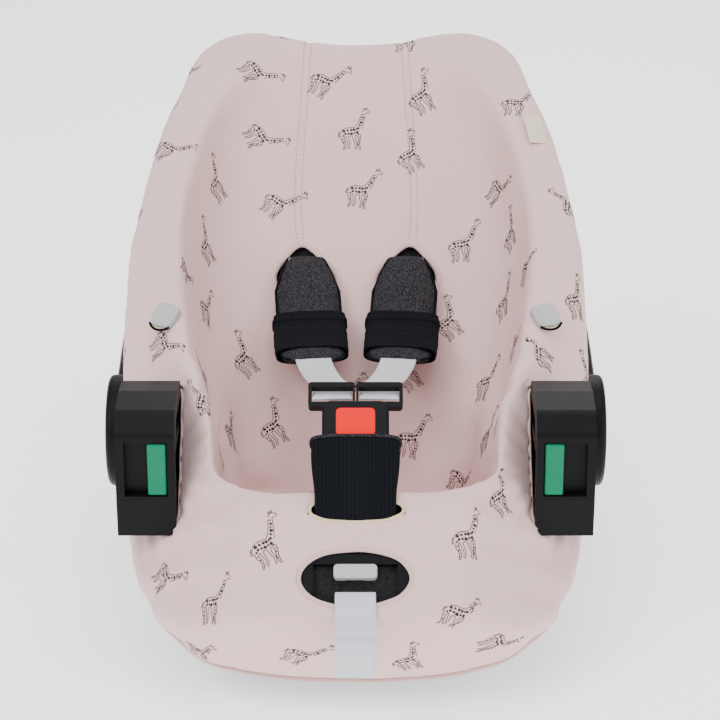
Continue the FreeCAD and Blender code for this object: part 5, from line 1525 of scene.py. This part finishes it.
# ---- plastic and metal parts --------------------------------------------------------
NODE_FINISHES = {
    "outer_shell": SHELL, "base_tray": SHELL, "anti_slip_pads": RUBBER, "grip_pad": RUBBER,
    "harness_yoke": STEEL, "crotch_anchor": STEEL, "docking_bar": STEEL, "screws": STEEL, "bolt": STEEL,
    "spring": STEEL, "adjuster_pin": STEEL, "adjuster_cam": STEEL, "lock_gear": STEEL,
    "belt_marker": GREEN, "adjuster_key": GREY, "canopy_peg": GREY, "buckle_button": RED,
    "buckle_tongue": BLACK, "buckle_housing": BLACK,
}


@dataclass
class Mouldings:
    """Dresses the carried-over parts."""

    default: Finish = BLACK

    def dress(self) -> None:
        """Gives every shown node a finish of its own kind."""
        for name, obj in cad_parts.items():
            finish = next((f for key, f in NODE_FINISHES.items() if key in name), self.default)
            for slot in obj.material_slots:
                slot.material = finish.material()
            if not obj.material_slots:
                obj.data.materials.append(finish.material())


@dataclass
class Studio:
    """The floor, the lights and the camera."""

    azimuth: float = 0.0
    elevation: float = 22.0
    distance: float = 2.2
    target: tuple = (0.0036, 0.0, 0.191)
    lens: float = 123.0

    def build(self) -> None:
        """Builds the stage."""
        span = 6.0
        floor = new_mesh("floor", np.array([
            (-span, -span, 0), (span, -span, 0), (span, span, 0), (-span, span, 0)]) / MM, [(0, 1, 2, 3)], False)
        mat = bpy.data.materials.new("floor_paper")
        mat.use_nodes = True
        mat.node_tree.nodes["Principled BSDF"].inputs["Base Color"].default_value = (0.92, 0.92, 0.92, 1)
        mat.node_tree.nodes["Principled BSDF"].inputs["Roughness"].default_value = 0.9
        mat.node_tree.nodes["Principled BSDF"].inputs["Emission Color"].default_value = (1, 1, 1, 1)
        mat.node_tree.nodes["Principled BSDF"].inputs["Emission Strength"].default_value = 1.1
        floor.data.materials.append(mat)
        world = bpy.data.worlds.new("studio")
        bpy.context.scene.world = world
        world.use_nodes = True
        world.node_tree.nodes["Background"].inputs["Color"].default_value = (1, 1, 1, 1)
        world.node_tree.nodes["Background"].inputs["Strength"].default_value = 0.75
        for name, place, size, power in (
            ("key", (-1.5, -1.6, 2.1), 1.4, 46.0), ("fill", (1.8, -1.3, 1.3), 1.6, 22.0),
            ("top", (0.1, -0.3, 2.7), 1.6, 31.0), ("back", (0.3, 2.0, 1.7), 1.4, 18.0),
        ):
            light = bpy.data.lights.new(name, "AREA")
            light.size = size
            light.energy = power
            lamp = bpy.data.objects.new(name, light)
            lamp.location = place
            lamp.rotation_euler = (Vector((0, 0, 0.2)) - Vector(place)).to_track_quat("-Z", "Y").to_euler()
            bpy.context.collection.objects.link(lamp)
        a, e = math.radians(self.azimuth), math.radians(self.elevation)
        away = Vector((math.sin(a) * math.cos(e), -math.cos(a) * math.cos(e), math.sin(e)))
        cam = bpy.data.objects.new("camera", bpy.data.cameras.new("camera"))
        cam.location = Vector(self.target) + away * self.distance
        cam.rotation_euler = (-away).to_track_quat("-Z", "Y").to_euler()
        cam.data.lens = self.lens
        cam.data.sensor_width = 36.0
        bpy.context.collection.objects.link(cam)
        bpy.context.scene.camera = cam


def main() -> None:
    """Builds the seat in order."""
    logging.basicConfig(level=logging.INFO, format="%(name)s: %(message)s")
    Studio().build()
    Mouldings().dress()
    Cover(SeatForm(columns=312), rows=158).build()
    ShoulderHarness().build()
    CrotchPad().build()
    FrontAdjuster().build()
    Trim().build()


if __name__ == "__main__":
    main()
